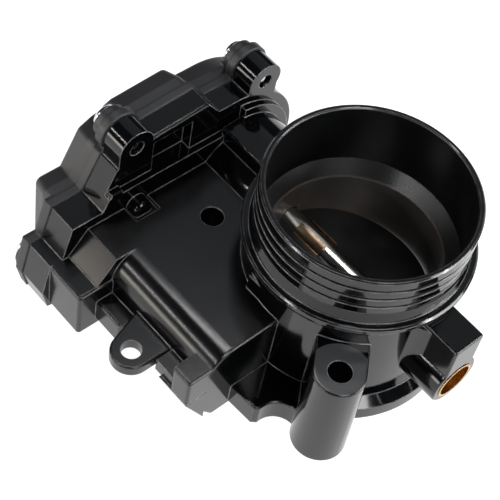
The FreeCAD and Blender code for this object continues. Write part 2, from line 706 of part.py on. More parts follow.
def idler_centre():
    """Where the idler's axis stands, at mesh distance from both the motor and the throttle shaft."""
    to_motor = PINION_MODULE * (PINION_TEETH + WHEEL_TEETH) / 2
    to_shaft = DRIVE_MODULE * (IDLER_TEETH + SECTOR_TEETH) / 2
    gap_y = -MOTOR_Y
    gap_z = SHAFT_Z - MOTOR_Z
    gap = math.hypot(gap_y, gap_z)
    along = (to_motor ** 2 - to_shaft ** 2 + gap ** 2) / (2 * gap)
    aside = math.sqrt(to_motor ** 2 - along ** 2)
    y = MOTOR_Y + (along * gap_y - aside * gap_z) / gap
    z = MOTOR_Z + (along * gap_z + aside * gap_y) / gap
    return y, z


def bearing_between(start, end):
    return math.degrees(math.atan2(end[1] - start[1], end[0] - start[0]))


def sector_gear():
    """Moulded sector on the shaft's end, with a hub that carries the sensor magnet."""
    shaft = (0.0, SHAFT_Z)
    contact = bearing_between(shaft, idler_centre())
    tooth_step = 360.0 / SECTOR_TEETH
    margin = 3
    first = -math.ceil(CLOSE_TRAVEL / tooth_step) - margin
    last = math.ceil(OPEN_TRAVEL / tooth_step) + margin
    kept = last - first + 1
    outline_points = gear_outline(DRIVE_MODULE, SECTOR_TEETH, contact + first * tooth_step, kept)
    points = [vec(0, 0, 0)] + [vec(0, r * math.cos(a), r * math.sin(a)) for r, a in outline_points]
    sector = prism_x(outline(points), SECTOR_X, SECTOR_X + SECTOR_FACE)
    sector.translate(vec(0, 0, SHAFT_Z))
    web_cut = tube_x(17.0, SECTOR_HUB_R + 1.5, SECTOR_X + 1.8, SECTOR_X + SECTOR_FACE + 1)
    sector = sector.cut(web_cut)
    hub_end = WHEEL_X + 0.4
    hub = rod_x(SECTOR_HUB_R, hub_end, SECTOR_X + SECTOR_FACE)
    flange = rod_x(SPRING_COIL_R - 2.4, SECTOR_X + SECTOR_FACE - 0.1, SPRING_BAY_END_X - 1.4)
    hub = join(hub, flange, sector)
    d_bore = rod_x(SHAFT_R + SEAT_GAP, SECTOR_X - 0.5, SPRING_BAY_END_X)
    flat = box(SECTOR_X - 2, FLOOR_X + 1.2, -10, 10, SHAFT_Z + SHAFT_R - 1.0 + SEAT_GAP, SHAFT_Z + 10)
    magnet_seat = rod_x(MAGNET_R + SEAT_GAP, hub_end - 1, hub_end + MAGNET_LENGTH + SEAT_GAP)
    return hub.cut(tilted(d_bore.cut(flat))).cut(magnet_seat)


def sensor_magnet():
    hub_end = WHEEL_X + 0.4
    return rod_x(MAGNET_R, hub_end, hub_end + MAGNET_LENGTH)


def idler_gear():
    """Two-step moulded idler: large wheel in mesh with the pinion, small gear with the sector."""
    centre = idler_centre()
    to_shaft = bearing_between(centre, (0.0, SHAFT_Z))
    to_motor = bearing_between(centre, (MOTOR_Y, MOTOR_Z))
    small = gear(DRIVE_MODULE, IDLER_TEETH, to_shaft + 180.0 / IDLER_TEETH, centre, WHEEL_X + WHEEL_FACE - 0.5,
                 FLOOR_X - 0.4)
    large = gear(PINION_MODULE, WHEEL_TEETH, to_motor, centre, WHEEL_X, WHEEL_X + WHEEL_FACE)
    for face in (WHEEL_X - 1, WHEEL_X + WHEEL_FACE - 1.2):
        large = large.cut(tube_x(15.6, 8.4, face, face + 2.2, centre[0], centre[1]))
    pin_hole = rod_x(IDLER_PIN_R + RUNNING_GAP, WHEEL_X - 2, FLOOR_X, centre[0], centre[1])
    return join(small, large).cut(pin_hole)


def idler_pin():
    y, z = idler_centre()
    pin = rod_x(IDLER_PIN_R, WHEEL_X - 1.6, FLOOR_X + 3.2, y, z)
    return fillet_where(pin, 0.4, lambda e, m: m.x < WHEEL_X - 1.5)


def motor_pinion():
    centre = (MOTOR_Y, MOTOR_Z)
    to_idler = bearing_between(centre, idler_centre())
    blank = gear(PINION_MODULE, PINION_TEETH, to_idler + 180.0 / PINION_TEETH, centre, WHEEL_X - 0.5,
                 WHEEL_X + WHEEL_FACE + 0.5)
    return blank.cut(rod_x(MOTOR_SHAFT_R + SEAT_GAP, WHEEL_X - 2, -60, MOTOR_Y, MOTOR_Z))


# ---------------------------------------------------------------- motor
def motor_can():
    x0 = MOTOR_CAN_FRONT_X
    x1 = x0 + MOTOR_CAN_LENGTH
    can = rod_x(MOTOR_R, x0, x1, MOTOR_Y, MOTOR_Z)
    can = fillet_where(can, 1.5, lambda e, m: m.x > x1 - 0.1)
    inner = rod_x(MOTOR_R - MOTOR_WALL, x0 - 1, x1 - MOTOR_WALL, MOTOR_Y, MOTOR_Z)
    return can.cut(inner).cut(rod_x(3.0 + SEAT_GAP, x0, x1 + 1, MOTOR_Y, MOTOR_Z))


def motor_rear_bush():
    x1 = MOTOR_CAN_FRONT_X + MOTOR_CAN_LENGTH
    return tube_x(3.0, MOTOR_SHAFT_R + RUNNING_GAP, x1 - 4.0, x1, MOTOR_Y, MOTOR_Z)


def motor_magnets():
    """Two curved magnets on the can's inner wall."""
    outer = MOTOR_R - MOTOR_WALL - SEAT_GAP
    x0 = MOTOR_CAN_FRONT_X + 12
    ring = tube_x(outer, outer - MAGNET_THICK, x0, x0 + 26, MOTOR_Y, MOTOR_Z)
    for side in (-1, 1):
        z0, z1 = sorted((MOTOR_Z + side * 6.5, MOTOR_Z + side * 20))
        ring = ring.cut(box(x0 - 1, x0 + 27, MOTOR_Y - 20, MOTOR_Y + 20, z0, z1))
    return ring


def motor_armature():
    """Laminated core with three slots, and the commutator beside it."""
    x0 = MOTOR_CAN_FRONT_X + 12.5
    core = rod_x(ARMATURE_R, x0, x0 + 25, MOTOR_Y, MOTOR_Z)
    for k in range(5):
        y, z = polar(ARMATURE_R, 90 + 72 * k)
        core = core.cut(rod_x(1.6, x0 - 1, x0 + 26, MOTOR_Y + y, MOTOR_Z + z))
    commutator = rod_x(4.0, MOTOR_CAN_FRONT_X + 1.0, x0 + 0.5, MOTOR_Y, MOTOR_Z)
    whole = join(core, commutator)
    return whole.cut(rod_x(MOTOR_SHAFT_R + SEAT_GAP, x0 - 20, x0 + 30, MOTOR_Y, MOTOR_Z))


def motor_shaft():
    x1 = MOTOR_CAN_FRONT_X + MOTOR_CAN_LENGTH - 1.0
    return rod_x(MOTOR_SHAFT_R, WHEEL_X - 1.0, x1, MOTOR_Y, MOTOR_Z)


def motor_end_cap():
    """Moulded brush holder that closes the can, with windows for the two brushes."""
    x1 = MOTOR_CAN_FRONT_X - SEAT_GAP
    x0 = x1 - END_CAP_LENGTH
    cap = rod_x(MOTOR_R - 0.2, x0, x1, MOTOR_Y, MOTOR_Z)
    spigot = tube_x(MOTOR_R - MOTOR_WALL - SEAT_GAP, 10.0, x1 - 0.1, x1 + 3, MOTOR_Y, MOTOR_Z)
    cap = join(cap, spigot)
    well = rod_x(8.5, x0 + 1.8, x1 + 1, MOTOR_Y, MOTOR_Z)
    nose = rod_x(MOTOR_SHAFT_R + 0.4, x0 - 1, x1 + 1, MOTOR_Y, MOTOR_Z)
    slots = box(x0 - 1, x0 + 4.4, MOTOR_Y - 11.2, MOTOR_Y + 11.2, MOTOR_Z - 2.0, MOTOR_Z + 2.0)
    slots = slots.cut(rod_x(8.8, x0 - 2, x0 + 6, MOTOR_Y, MOTOR_Z))
    return cap.cut(well).cut(nose).cut(slots)


def motor_brushes():
    """Carbon blocks on each side of the commutator."""
    x0 = MOTOR_CAN_FRONT_X + 2.0
    blocks = []
    for side in (-1, 1):
        y0, y1 = sorted((MOTOR_Y + side * 4.1, MOTOR_Y + side * 9.4))
        blocks.append(box(x0, x0 + 4.5, y0, y1, MOTOR_Z - 2, MOTOR_Z + 2))
    return Part.makeCompound(blocks)


def motor_terminals():
    """Flat blades that stand out of the end cap towards the cover."""
    x1 = MOTOR_CAN_FRONT_X - SEAT_GAP - END_CAP_LENGTH + 4.2
    blades = []
    for side in (-1, 1):
        y0, y1 = sorted((MOTOR_Y + side * 9.0, MOTOR_Y + side * 11.0))
        blades.append(box(SECTOR_X + 1.0, x1, y0, y1, MOTOR_Z - 1.6, MOTOR_Z + 1.6))
    return Part.makeCompound(blades)


def motor_plate():
    """Steel plate that holds the motor down on the gear-housing floor."""
    x1 = FLOOR_X - SEAT_GAP
    x0 = x1 - END_PLATE_THICK
    disc = rod_x(MOTOR_R + 1.6, x0, x1, MOTOR_Y, MOTOR_Z)
    lug_places = motor_screw_places()
    plate = join(disc, *[rod_x(MOTOR_LUG_R, x0, x1, y, z) for y, z in lug_places])
    plate = plate.cut(rod_x(7.0, x0 - 1, x1 + 1, MOTOR_Y, MOTOR_Z))
    for side in (-1, 1):
        y0, y1 = sorted((MOTOR_Y + side * 8.4, MOTOR_Y + side * 11.6))
        plate = plate.cut(box(x0 - 1, x1 + 1, y0, y1, MOTOR_Z - 2.4, MOTOR_Z + 2.4))
    for y, z in lug_places:
        plate = plate.cut(rod_x(MOTOR_SCREW_R + 0.2, x0 - 1, x1 + 1, y, z))
    return plate


def motor_screws():
    screws = []
    head_x = FLOOR_X - SEAT_GAP - END_PLATE_THICK - SEAT_GAP
    for y, z in motor_screw_places():
        head = rod_x(2.6, head_x - 1.8, head_x, y, z)
        head = fillet_where(head, 0.6, lambda e, m: m.x < head_x - 1.7)
        screws.append(one_solid(join(head, rod_x(MOTOR_SCREW_R, head_x - 0.5, FLOOR_X + 5.5, y, z))))
    return Part.makeCompound(screws)


def motor_screw_places():
    """Centres (y, z) of the motor plate's two screws."""
    places = []
    for angle in MOTOR_LUG_ANGLES:
        y, z = polar(MOTOR_R + MOTOR_LUG_REACH, angle)
        places.append((MOTOR_Y + y, MOTOR_Z + z))
    return places


# ---------------------------------------------------------------- bearings and seals
def shaft_bearing_drive():
    x0 = SPRING_BAY_END_X + 0.2
    return tube_x(BEARING_OR, SHAFT_R + RUNNING_GAP, x0, x0 + DRIVE_BEARING_LENGTH - SEAL_LENGTH - 0.4)


def shaft_seal():
    x1 = SPRING_BAY_END_X + DRIVE_BEARING_LENGTH
    return tube_x(BEARING_OR, SHAFT_R + RUNNING_GAP, x1 - SEAL_LENGTH, x1 - SEAT_GAP)


def shaft_bearing_cup():
    x0 = CUP_BEARING_X + SEAT_GAP
    return tube_x(BEARING_OR, SHAFT_R + RUNNING_GAP, x0, x0 + CUP_BEARING_LENGTH - 2 * SEAT_GAP)


def shaft_plug():
    """Open brass cup pressed into the end of the shaft boss."""
    x1 = BOSS_END_X + 0.25
    x0 = x1 - PLUG_LENGTH
    cup = rod_x(PLUG_OR, x0, x1)
    return cup.cut(rod_x(PLUG_OR - PLUG_WALL, x0 + PLUG_WALL, x1 + 1))


def return_spring():
    """Torsion spring around the sector's hub."""
    x0 = SECTOR_X + SECTOR_FACE + 1.3
    height = SPRING_TURNS * SPRING_PITCH
    helix = Part.makeHelix(SPRING_PITCH, height, SPRING_COIL_R)
    path = helix.Edges[0]
    start = path.valueAt(path.FirstParameter)
    circle = Part.Wire([Part.makeCircle(SPRING_WIRE_R, start, path.tangentAt(path.FirstParameter))])
    coil = Part.Wire(helix.Edges).makePipeShell([circle], True, True)
    coil.rotate(vec(0, 0, 0), vec(0, 1, 0), 90)
    coil.translate(vec(x0, 0, SHAFT_Z))
    return coil


# ---------------------------------------------------------------- cover
def deep_outline():
    """Outline of the deep part of the cover: the housing's, less the low step at its side."""
    low_z = SHAFT_Z - DISC_R
    return yz(
        (0, low_z),
        ((DISC_R, SHAFT_Z), (0, TOP_PANEL_Z)),
        (-8, TOP_PANEL_Z),
        (-13, BUMP_Z),
        (-36, BUMP_Z - 1.5),
        (-50, 52),
        (-56.5, BOX_TOP_Z),
        (COVER_DEEP_Y, BOX_TOP_Z),
        (COVER_DEEP_Y, low_z + 4),
        (-60, low_z + 2),
    )


def cover_wire(points, inset, x):
    """A cover outline, set in from the rim's edge by inset, at x."""
    wire = grown(outline(points), COVER_OVERHANG - inset)
    wire.translate(vec(x, 0, 0))
    return wire


def softened(wire):
    """The outline with its outward corners rounded."""
    return Part.Face(grown(wire, -COVER_CORNER_R)).makeOffset2D(COVER_CORNER_R, 0).OuterWire


def cover_deep(inset, start_x, end_x):
    """The deep part of the cover, straight and then sloped, as a solid from start_x to end_x."""
    near = softened(cover_wire(deep_outline(), inset, 0))
    straight = prism_x(near, COVER_BEND_X, start_x)
    near.translate(vec(COVER_BEND_X, 0, 0))
    far = softened(cover_wire(deep_outline(), inset + COVER_SLOPE, end_x))
    return [straight, Part.makeLoft([near, far], True, True)]


def cover_outside():
    """Rim and shallow shelf over the whole outline, then the deep part."""
    rim_end = PART_X - COVER_RIM
    rim = prism_x(cover_wire(tub_outline(), 0, 0), rim_end, PART_X)
    shelf = prism_x(cover_wire(tub_outline(), COVER_STEP, 0), COVER_SHELF_X, rim_end)
    outside = join(rim, shelf, *cover_deep(COVER_STEP, rim_end, COVER_END_X))
    return fillet_where(outside, COVER_EDGE_R, lambda e, m: m.x < COVER_END_X + 0.01)


def cover_inside():
    """The gear space in the cover, less the pad for the sensor and the walls around the screws."""
    inset = TUB_WALL + COVER_OVERHANG
    rim = prism_x(cover_wire(tub_outline(), inset, 0), COVER_SHELF_X + COVER_WALL, PART_X + 1)
    deep = cover_deep(inset, PART_X + 1, COVER_END_X + COVER_WALL)
    space = join(rim, *deep).cut(sensor_pad())
    for y, z in SCREW_PLACES:
        space = space.cut(rod_x(COVER_BOSS_NECK_R + COVER_WALL, COVER_END_X - 1, PART_X + 2, y, z))
    return space


def sensor_pad():
    """Thick square on the cover's inner face that brings the sensor near its magnet."""
    low_z, high_z = SHAFT_Z - SENSOR_PAD_HALF, SHAFT_Z + SENSOR_PAD_HALF
    return box(COVER_END_X, SENSOR_X, -SENSOR_PAD_HALF, SENSOR_PAD_HALF, low_z, high_z)


def screw_boss(y, z):
    """Stepped boss that a cover screw goes through."""
    collar = rod_x(COVER_BOSS_R, PART_X - COVER_RIM, PART_X, y, z)
    neck = rod_x(COVER_BOSS_NECK_R, SCREW_SEAT_X, PART_X, y, z)
    neck = fillet_where(neck, 0.5, lambda e, m: m.x < SCREW_SEAT_X + 0.1)
    return join(collar, neck)


def gear_cover():
    """The side cover: shell, screw bosses and the connector, all one moulding."""
    raised = rod_x(DIAL_R, COVER_END_X - DIAL_RISE, COVER_END_X + 1)
    raised = fillet_where(raised, DIAL_RISE / 2, lambda e, m: m.x < COVER_END_X - DIAL_RISE + 0.1)
    shell = join(cover_outside(), raised)
    seats = [rod_x(COVER_BOSS_NECK_R, COVER_END_X - 3, SCREW_SEAT_X, y, z) for y, z in SCREW_PLACES]
    shell = shell.cut(seats)
    body = join(shell, connector_shroud(), *[screw_boss(y, z) for y, z in SCREW_PLACES])
    cuts = [cover_inside(), cover_groove(), connector_inside()]
    cuts += [rod_x(SCREW_R + LOOSE_GAP, SCREW_SEAT_X - 1, PART_X + 1, y, z) for y, z in SCREW_PLACES]
    cuts += [pin_box(k, PIN_HALF + SEAT_GAP, PIN_TOP_Z + 1) for k in range(PIN_COUNT)]
    return body.cut(cuts)


def gasket_ring(gap, x0, x1):
    middle = TUB_WALL / 2
    half = GASKET_WIDTH / 2 - gap
    outer = prism_x(grown(outline(tub_outline()), half - middle), x0, x1)
    return outer.cut(prism_x(grown(outline(tub_outline()), -half - middle), x0 - 1, x1 + 1))


def cover_groove():
    return gasket_ring(0.0, PART_X - GASKET_DEPTH, PART_X + 1)


def cover_gasket():
    return gasket_ring(SEAT_GAP, PART_X - GASKET_DEPTH + SEAT_GAP, PART_X - SEAT_GAP)


def cover_screws():
    """Four domed-head screws through the cover into the housing posts."""
    screws = []
    head_x = SCREW_SEAT_X - SEAT_GAP
    for y, z in SCREW_PLACES:
        shank = rod_x(SCREW_R, head_x, SCREW_TIP_X, y, z)
        head = rod_x(SCREW_HEAD_R, head_x - SCREW_HEAD_HEIGHT, head_x, y, z)
        head_end = head_x - SCREW_HEAD_HEIGHT
        head = fillet_where(head, SCREW_HEAD_ROUND, lambda e, m: m.x < head_end + 0.1)
        socket = rod_x(SCREW_SOCKET_R, head_end - 1, head_end + SCREW_SOCKET_DEPTH, y, z)
        screws.append(one_solid(join(shank, head).cut(socket)))
    return Part.makeCompound(screws)


# ---------------------------------------------------------------- connector
def connector_shroud():
    """Rectangular socket that points down under the cover."""
    block = box(PLUG_X - PLUG_HALF_X, PLUG_X + PLUG_HALF_X - 1.6, PLUG_Y - PLUG_HALF_Y, PLUG_Y + PLUG_HALF_Y,
                SHROUD_BOTTOM_Z, 2.0)
    return fillet_where(block, 1.5, lambda e, m: SHROUD_BOTTOM_Z + 1 < m.z < 1)


def connector_inside():
    x0 = PLUG_X - PLUG_HALF_X + SHROUD_WALL
    x1 = PLUG_X + PLUG_HALF_X - 1.6 - SHROUD_WALL
    return box(x0, x1, PLUG_Y - PLUG_HALF_Y + SHROUD_WALL, PLUG_Y + PLUG_HALF_Y - SHROUD_WALL,
               SHROUD_BOTTOM_Z - 1, SOCKET_FLOOR_Z)


def connector_pins():
    """Six straight pins in the socket, through its floor into the cover."""
    return Part.makeCompound([pin_box(k, PIN_HALF, PIN_TOP_Z) for k in range(PIN_COUNT)])


def pin_box(number, half, top):
    x = PLUG_X - 0.8
    y = PLUG_Y + (number - (PIN_COUNT - 1) / 2) * PIN_PITCH
    return box(x - half, x + half, y - half, y + half, PIN_BOTTOM_Z, top)


def position_sensor():
    """Sensor board on the cover's inner pad, over the magnet."""
    x0 = SENSOR_X + SEAT_GAP
    low_z, high_z = SHAFT_Z - SENSOR_HALF, SHAFT_Z + SENSOR_HALF
    return box(x0, x0 + SENSOR_THICK, -SENSOR_HALF, SENSOR_HALF, low_z, high_z)


PARTS = {
    "housing": housing,
    "gear_cover": gear_cover,
    "cover_gasket": cover_gasket,
    "cover_screws": cover_screws,
    "flange_seal": flange_seal,
    "shaft_bearing_drive": shaft_bearing_drive,
    "shaft_seal": shaft_seal,
    "shaft_bearing_cup": shaft_bearing_cup,
    "shaft_plug": shaft_plug,
    "throttle_shaft": throttle_shaft,
    "throttle_plate": throttle_plate,
    "plate_clips": plate_clips,
    "sector_gear": sector_gear,
    "sensor_magnet": sensor_magnet,
    "return_spring": return_spring,
    "idler_gear": idler_gear,
    "idler_pin": idler_pin,
    "motor_pinion": motor_pinion,
    "motor_shaft": motor_shaft,
    "motor_armature": motor_armature,
    "motor_can": motor_can,
    "motor_magnets": motor_magnets,
    "motor_rear_bush": motor_rear_bush,
    "motor_end_cap": motor_end_cap,
    "motor_brushes": motor_brushes,
    "motor_terminals": motor_terminals,
    "motor_plate": motor_plate,
    "motor_screws": motor_screws,
    "connector_pins": connector_pins,
    "position_sensor": position_sensor,
}

for name, make in PARTS.items():
    shape = one_solid(make())
    print(name, len(shape.Solids), round(shape.Volume, 1), shape.isValid())
    shape.exportStep("parts/" + name + ".step")
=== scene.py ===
import json
import logging
import math
from dataclasses import dataclass, field
from enum import Enum
from typing import Any, Iterable, Mapping, Optional, Sequence, Union

import bpy
from mathutils import Matrix, Vector

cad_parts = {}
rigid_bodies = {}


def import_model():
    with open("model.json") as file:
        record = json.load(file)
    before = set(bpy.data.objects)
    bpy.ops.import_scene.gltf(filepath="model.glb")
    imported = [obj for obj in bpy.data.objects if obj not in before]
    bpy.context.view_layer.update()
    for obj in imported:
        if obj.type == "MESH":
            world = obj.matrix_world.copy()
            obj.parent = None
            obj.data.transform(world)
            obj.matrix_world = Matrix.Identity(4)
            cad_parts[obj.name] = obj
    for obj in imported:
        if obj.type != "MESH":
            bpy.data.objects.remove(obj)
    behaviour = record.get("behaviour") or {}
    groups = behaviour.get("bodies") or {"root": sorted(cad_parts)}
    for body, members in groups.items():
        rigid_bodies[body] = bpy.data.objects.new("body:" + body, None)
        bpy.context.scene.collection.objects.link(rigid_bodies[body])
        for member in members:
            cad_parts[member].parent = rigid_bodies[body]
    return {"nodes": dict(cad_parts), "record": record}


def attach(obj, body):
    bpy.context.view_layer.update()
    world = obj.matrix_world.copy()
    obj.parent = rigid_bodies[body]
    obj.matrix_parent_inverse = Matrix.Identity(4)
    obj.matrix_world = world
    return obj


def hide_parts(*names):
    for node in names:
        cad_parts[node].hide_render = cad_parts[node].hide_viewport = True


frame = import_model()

log = logging.getLogger("throttle_body")

Colour = tuple[float, float, float]
MM = 0.001


# ---------------------------------------------------------------------------
# Node graphs
# ---------------------------------------------------------------------------
class Wire:
    """An output socket of a node graph, so that maths on it reads as an expression."""

    def __init__(self, graph: "Graph", socket: bpy.types.NodeSocket) -> None:
        """Keeps the socket and the graph it belongs to."""
        self.graph = graph
        self.socket = socket

    def _math(self, operation: str, first: "Operand", second: "Operand") -> "Wire":
        """Adds one Math node.

        Args:
            operation: The Math node's operation.
            first: Its first value or link.
            second: Its second value or link.

        Returns:
            The node's result.
        """
        return self.graph.node("ShaderNodeMath", {"operation": operation}, {0: first, 1: second})

    def __add__(self, other: "Operand") -> "Wire":
        """self + other."""
        return self._math("ADD", self, other)

    def __radd__(self, other: "Operand") -> "Wire":
        """other + self."""
        return self._math("ADD", other, self)

    def __sub__(self, other: "Operand") -> "Wire":
        """self - other."""
        return self._math("SUBTRACT", self, other)

    def __rsub__(self, other: "Operand") -> "Wire":
        """other - self."""
        return self._math("SUBTRACT", other, self)

    def __mul__(self, other: "Operand") -> "Wire":
        """self * other."""
        return self._math("MULTIPLY", self, other)

    def __rmul__(self, other: "Operand") -> "Wire":
        """other * self."""
        return self._math("MULTIPLY", other, self)

    def __truediv__(self, other: "Operand") -> "Wire":
        """self / other."""
        return self._math("DIVIDE", self, other)

    def power(self, exponent: float) -> "Wire":
        """self raised to exponent."""
        return self._math("POWER", self, exponent)

    def sine(self) -> "Wire":
        """The sine of self, in radians."""
        return self._math("SINE", self, 0.0)

    def cosine(self) -> "Wire":
        """The cosine of self, in radians."""
        return self._math("COSINE", self, 0.0)

    def greater(self, other: "Operand") -> "Wire":
        """1 where self is more than other, else 0."""
        return self._math("GREATER_THAN", self, other)

    def hypotenuse(self, other: "Wire") -> "Wire":
        """The distance that self and other make at a right angle."""
        return (self * self + other * other).power(0.5)


Operand = Union[Wire, float]
Value = Union[Wire, float, int, bool, Sequence[float], bpy.types.ID]


class Graph:
    """A node tree with one way to add a node."""

    def __init__(self, tree: bpy.types.NodeTree) -> None:
        """Wraps an existing node tree."""
        self.tree = tree

    def add(self, kind: str, settings: Mapping[str, Any], values: Mapping[Any, Value]) -> bpy.types.Node:
        """Adds a node.

        Args:
            kind: The node's type name.
            settings: Properties of the node, set before its sockets.
            values: Socket name or number to a value or a Wire.

        Returns:
            The new node.
        """
        new = self.tree.nodes.new(kind)
        for name, setting in settings.items():
            setattr(new, name, setting)
        for key, value in values.items():
            if isinstance(value, Wire):
                self.tree.links.new(value.socket, new.inputs[key])
            else:
                new.inputs[key].default_value = value
        return new

    def node(
        self,
        kind: str,
        settings: Optional[Mapping[str, Any]] = None,
        values: Optional[Mapping[Any, Value]] = None,
        output: Union[int, str] = 0,
    ) -> Wire:
        """Adds a node and hands back one of its outputs.

        Args:
            kind: The node's type name.
            settings: Properties of the node.
            values: Socket name or number to a value or a Wire.
            output: Which output to return.

        Returns:
            The output as a Wire.
        """
        return Wire(self, self.add(kind, settings or {}, values or {}).outputs[output])

    def remap(self, value: Wire, source: tuple[float, float], target: tuple[float, float]) -> Wire:
        """Maps one range onto another, clamped at its ends.

        Args:
            value: What is mapped.
            source: The range it has.
            target: The range it gets.

        Returns:
            The mapped value.
        """
        return self.node(
            "ShaderNodeMapRange", {}, {0: value, 1: source[0], 2: source[1], 3: target[0], 4: target[1]}
        )

    def below(self, value: Wire, limit: float, fade: float) -> Wire:
        """A mask that is 1 up to a limit in millimetres and then falls to 0 over the fade."""
        return self.remap(value, (limit * MM, (limit + fade) * MM), (1.0, 0.0))

    def above(self, value: Wire, limit: float, fade: float) -> Wire:
        """A mask that is 0 up to a limit in millimetres and then rises to 1 over the fade."""
        return self.remap(value, (limit * MM, (limit + fade) * MM), (0.0, 1.0))

    def axes(self, place: Wire) -> tuple[Wire, Wire, Wire]:
        """The x, y and z of a position."""
        split = self.add("ShaderNodeSeparateXYZ", {}, {0: place})
        return Wire(self, split.outputs[0]), Wire(self, split.outputs[1]), Wire(self, split.outputs[2])

    def noise(self, place: Wire, scale: float, detail: float) -> Wire:
        """A noise texture's factor."""
        return self.node("ShaderNodeTexNoise", {}, {"Vector": place, "Scale": scale, "Detail": detail})

    def mix_colour(self, factor: Operand, first: Union[Wire, Colour], second: Union[Wire, Colour]) -> Wire:
        """Mixes two colours.

        Args:
            factor: 0 gives the first colour and 1 the second.
            first: Colour or link.
            second: Colour or link.

        Returns:
            The mixed colour.
        """
        colours = [c if isinstance(c, Wire) else (*c, 1.0) for c in (first, second)]
        return self.node(
            "ShaderNodeMix", {"data_type": "RGBA"}, {0: factor, 6: colours[0], 7: colours[1]}, output=2
        )


# ---------------------------------------------------------------------------
# Finishes
# ---------------------------------------------------------------------------
class Grain(Enum):
    """How a surface's fine relief runs."""

    EVEN = (1.0, 1.0, 1.0)
    ALONG_SHAFT = (0.04, 1.0, 1.0)


BEVEL_SAMPLES = 4
COAT_ROUGHNESS = 0.12
EDGE_AGREEMENT = (0.95, 0.78)   # how far the rounded and true normals agree off and on an edge
EDGE_NOISE_SCALE = 260.0
EDGE_NOISE_RANGE = (0.3, 0.62)
EDGE_LEAST = 0.25               # share of the edge's tone where the noise is low
PATCH_RANGE = (0.35, 0.65)
CRISP = 0.1                     # fades between areas of a finish, in millimetres
SOFT = 0.2


@dataclass(frozen=True)
class Finish:
    """One finish: colours, gloss and relief, with lengths in millimetres.

    Args:
        base: Main colour.
        drift: Colour it drifts towards in soft patches.
        roughness: Mean roughness.
        roughness_spread: How far the roughness wanders.
        metallic: 1 for bare metal.
        grain: Direction of the fine relief.
        grain_size: Size of the fine relief.
        grain_depth: Height of the fine relief.
        patch_size: Size of the soft patches.
        edge_round: Radius that edges are rounded to in the shading.
        coat: Weight of a clear coat.
        edge_highlight_tone: Colour of the painted highlight along sharp edges, a pale line standing in for the
            light that rounded edges catch.
        edge_highlight_share: How much of the painted edge highlight shows.
    """

    base: Colour
    drift: Colour
    roughness: float
    roughness_spread: float = 0.06
    metallic: float = 0.0
    grain: Grain = Grain.EVEN
    grain_size: float = 0.6
    grain_depth: float = 0.006
    patch_size: float = 14.0
    edge_round: float = 0.35
    coat: float = 0.0
    edge_highlight_tone: Colour = (0.42, 0.42, 0.43)
    edge_highlight_share: float = 0.0

    def build(self, name: str) -> bpy.types.Material:
        """Makes the material.

        Args:
            name: The material's name.

        Returns:
            The material, with its nodes in place.
        """
        material = bpy.data.materials.new(name)
        material.use_nodes = True
        material.node_tree.nodes.clear()
        graph = Graph(material.node_tree)
        place = graph.node("ShaderNodeTexCoord", output="Object")
        colour, roughness, height = self.surface(graph, place)
        rounded = graph.node("ShaderNodeBevel", {"samples": BEVEL_SAMPLES}, {"Radius": self.edge_round * MM})
        # Painted highlight: a pale tone is mixed into the colour along sharp edges, standing in for the light that
        # rounded edges catch.
        if self.edge_highlight_share > 0:
            painted_edge_highlight = self.edges(graph, place, rounded) * self.edge_highlight_share
            colour = graph.mix_colour(painted_edge_highlight, colour, self.edge_highlight_tone)
        normal = graph.node(
            "ShaderNodeBump",
            {},
            {"Strength": 1.0, "Distance": self.grain_depth * MM, "Height": height, "Normal": rounded},
        )
        shader = graph.node(
            "ShaderNodeBsdfPrincipled",
            {},
            {
                "Base Color": colour,
                "Roughness": roughness,
                "Metallic": self.metallic,
                "Coat Weight": self.coat,
                "Coat Roughness": COAT_ROUGHNESS,
                "Normal": normal,
            },
        )
        graph.add("ShaderNodeOutputMaterial", {}, {"Surface": shader})
        return material

    def edges(self, graph: Graph, place: Wire, rounded: Wire) -> Wire:
        """A slightly uneven mask along sharp edges, where the painted highlight goes.

        Args:
            graph: The material's graph.
            place: Position on the object.
            rounded: The rounded normal.

        Returns:
            The mask.
        """
        flat = graph.node("ShaderNodeNewGeometry", output="Normal")
        agreement = graph.node(
            "ShaderNodeVectorMath", {"operation": "DOT_PRODUCT"}, {0: rounded, 1: flat}, output="Value"
        )
        sharp = graph.remap(agreement, EDGE_AGREEMENT, (0.0, 1.0))
        uneven = graph.noise(place, EDGE_NOISE_SCALE, 3.0)
        return sharp * graph.remap(uneven, EDGE_NOISE_RANGE, (EDGE_LEAST, 1.0))

    def surface(self, graph: Graph, place: Wire) -> tuple[Wire, Wire, Wire]:
        """Works out what varies over the surface.

        Args:
            graph: The material's graph.
            place: Position on the object.

        Returns:
            Colour, roughness and relief height.
        """
        patches = graph.noise(place, 1 / (self.patch_size * MM), 3.0)
        stretched = graph.node("ShaderNodeVectorMath", {"operation": "MULTIPLY"}, {0: place, 1: self.grain.value})
        fine = graph.noise(stretched, 1 / (self.grain_size * MM), 2.0)
        colour = graph.mix_colour(graph.remap(patches, PATCH_RANGE, (0.0, 1.0)), self.base, self.drift)
        wander = (patches - 0.5) * self.roughness_spread + (fine - 0.5) * self.roughness_spread
        roughness = self.roughness + wander
        return colour, roughness, fine


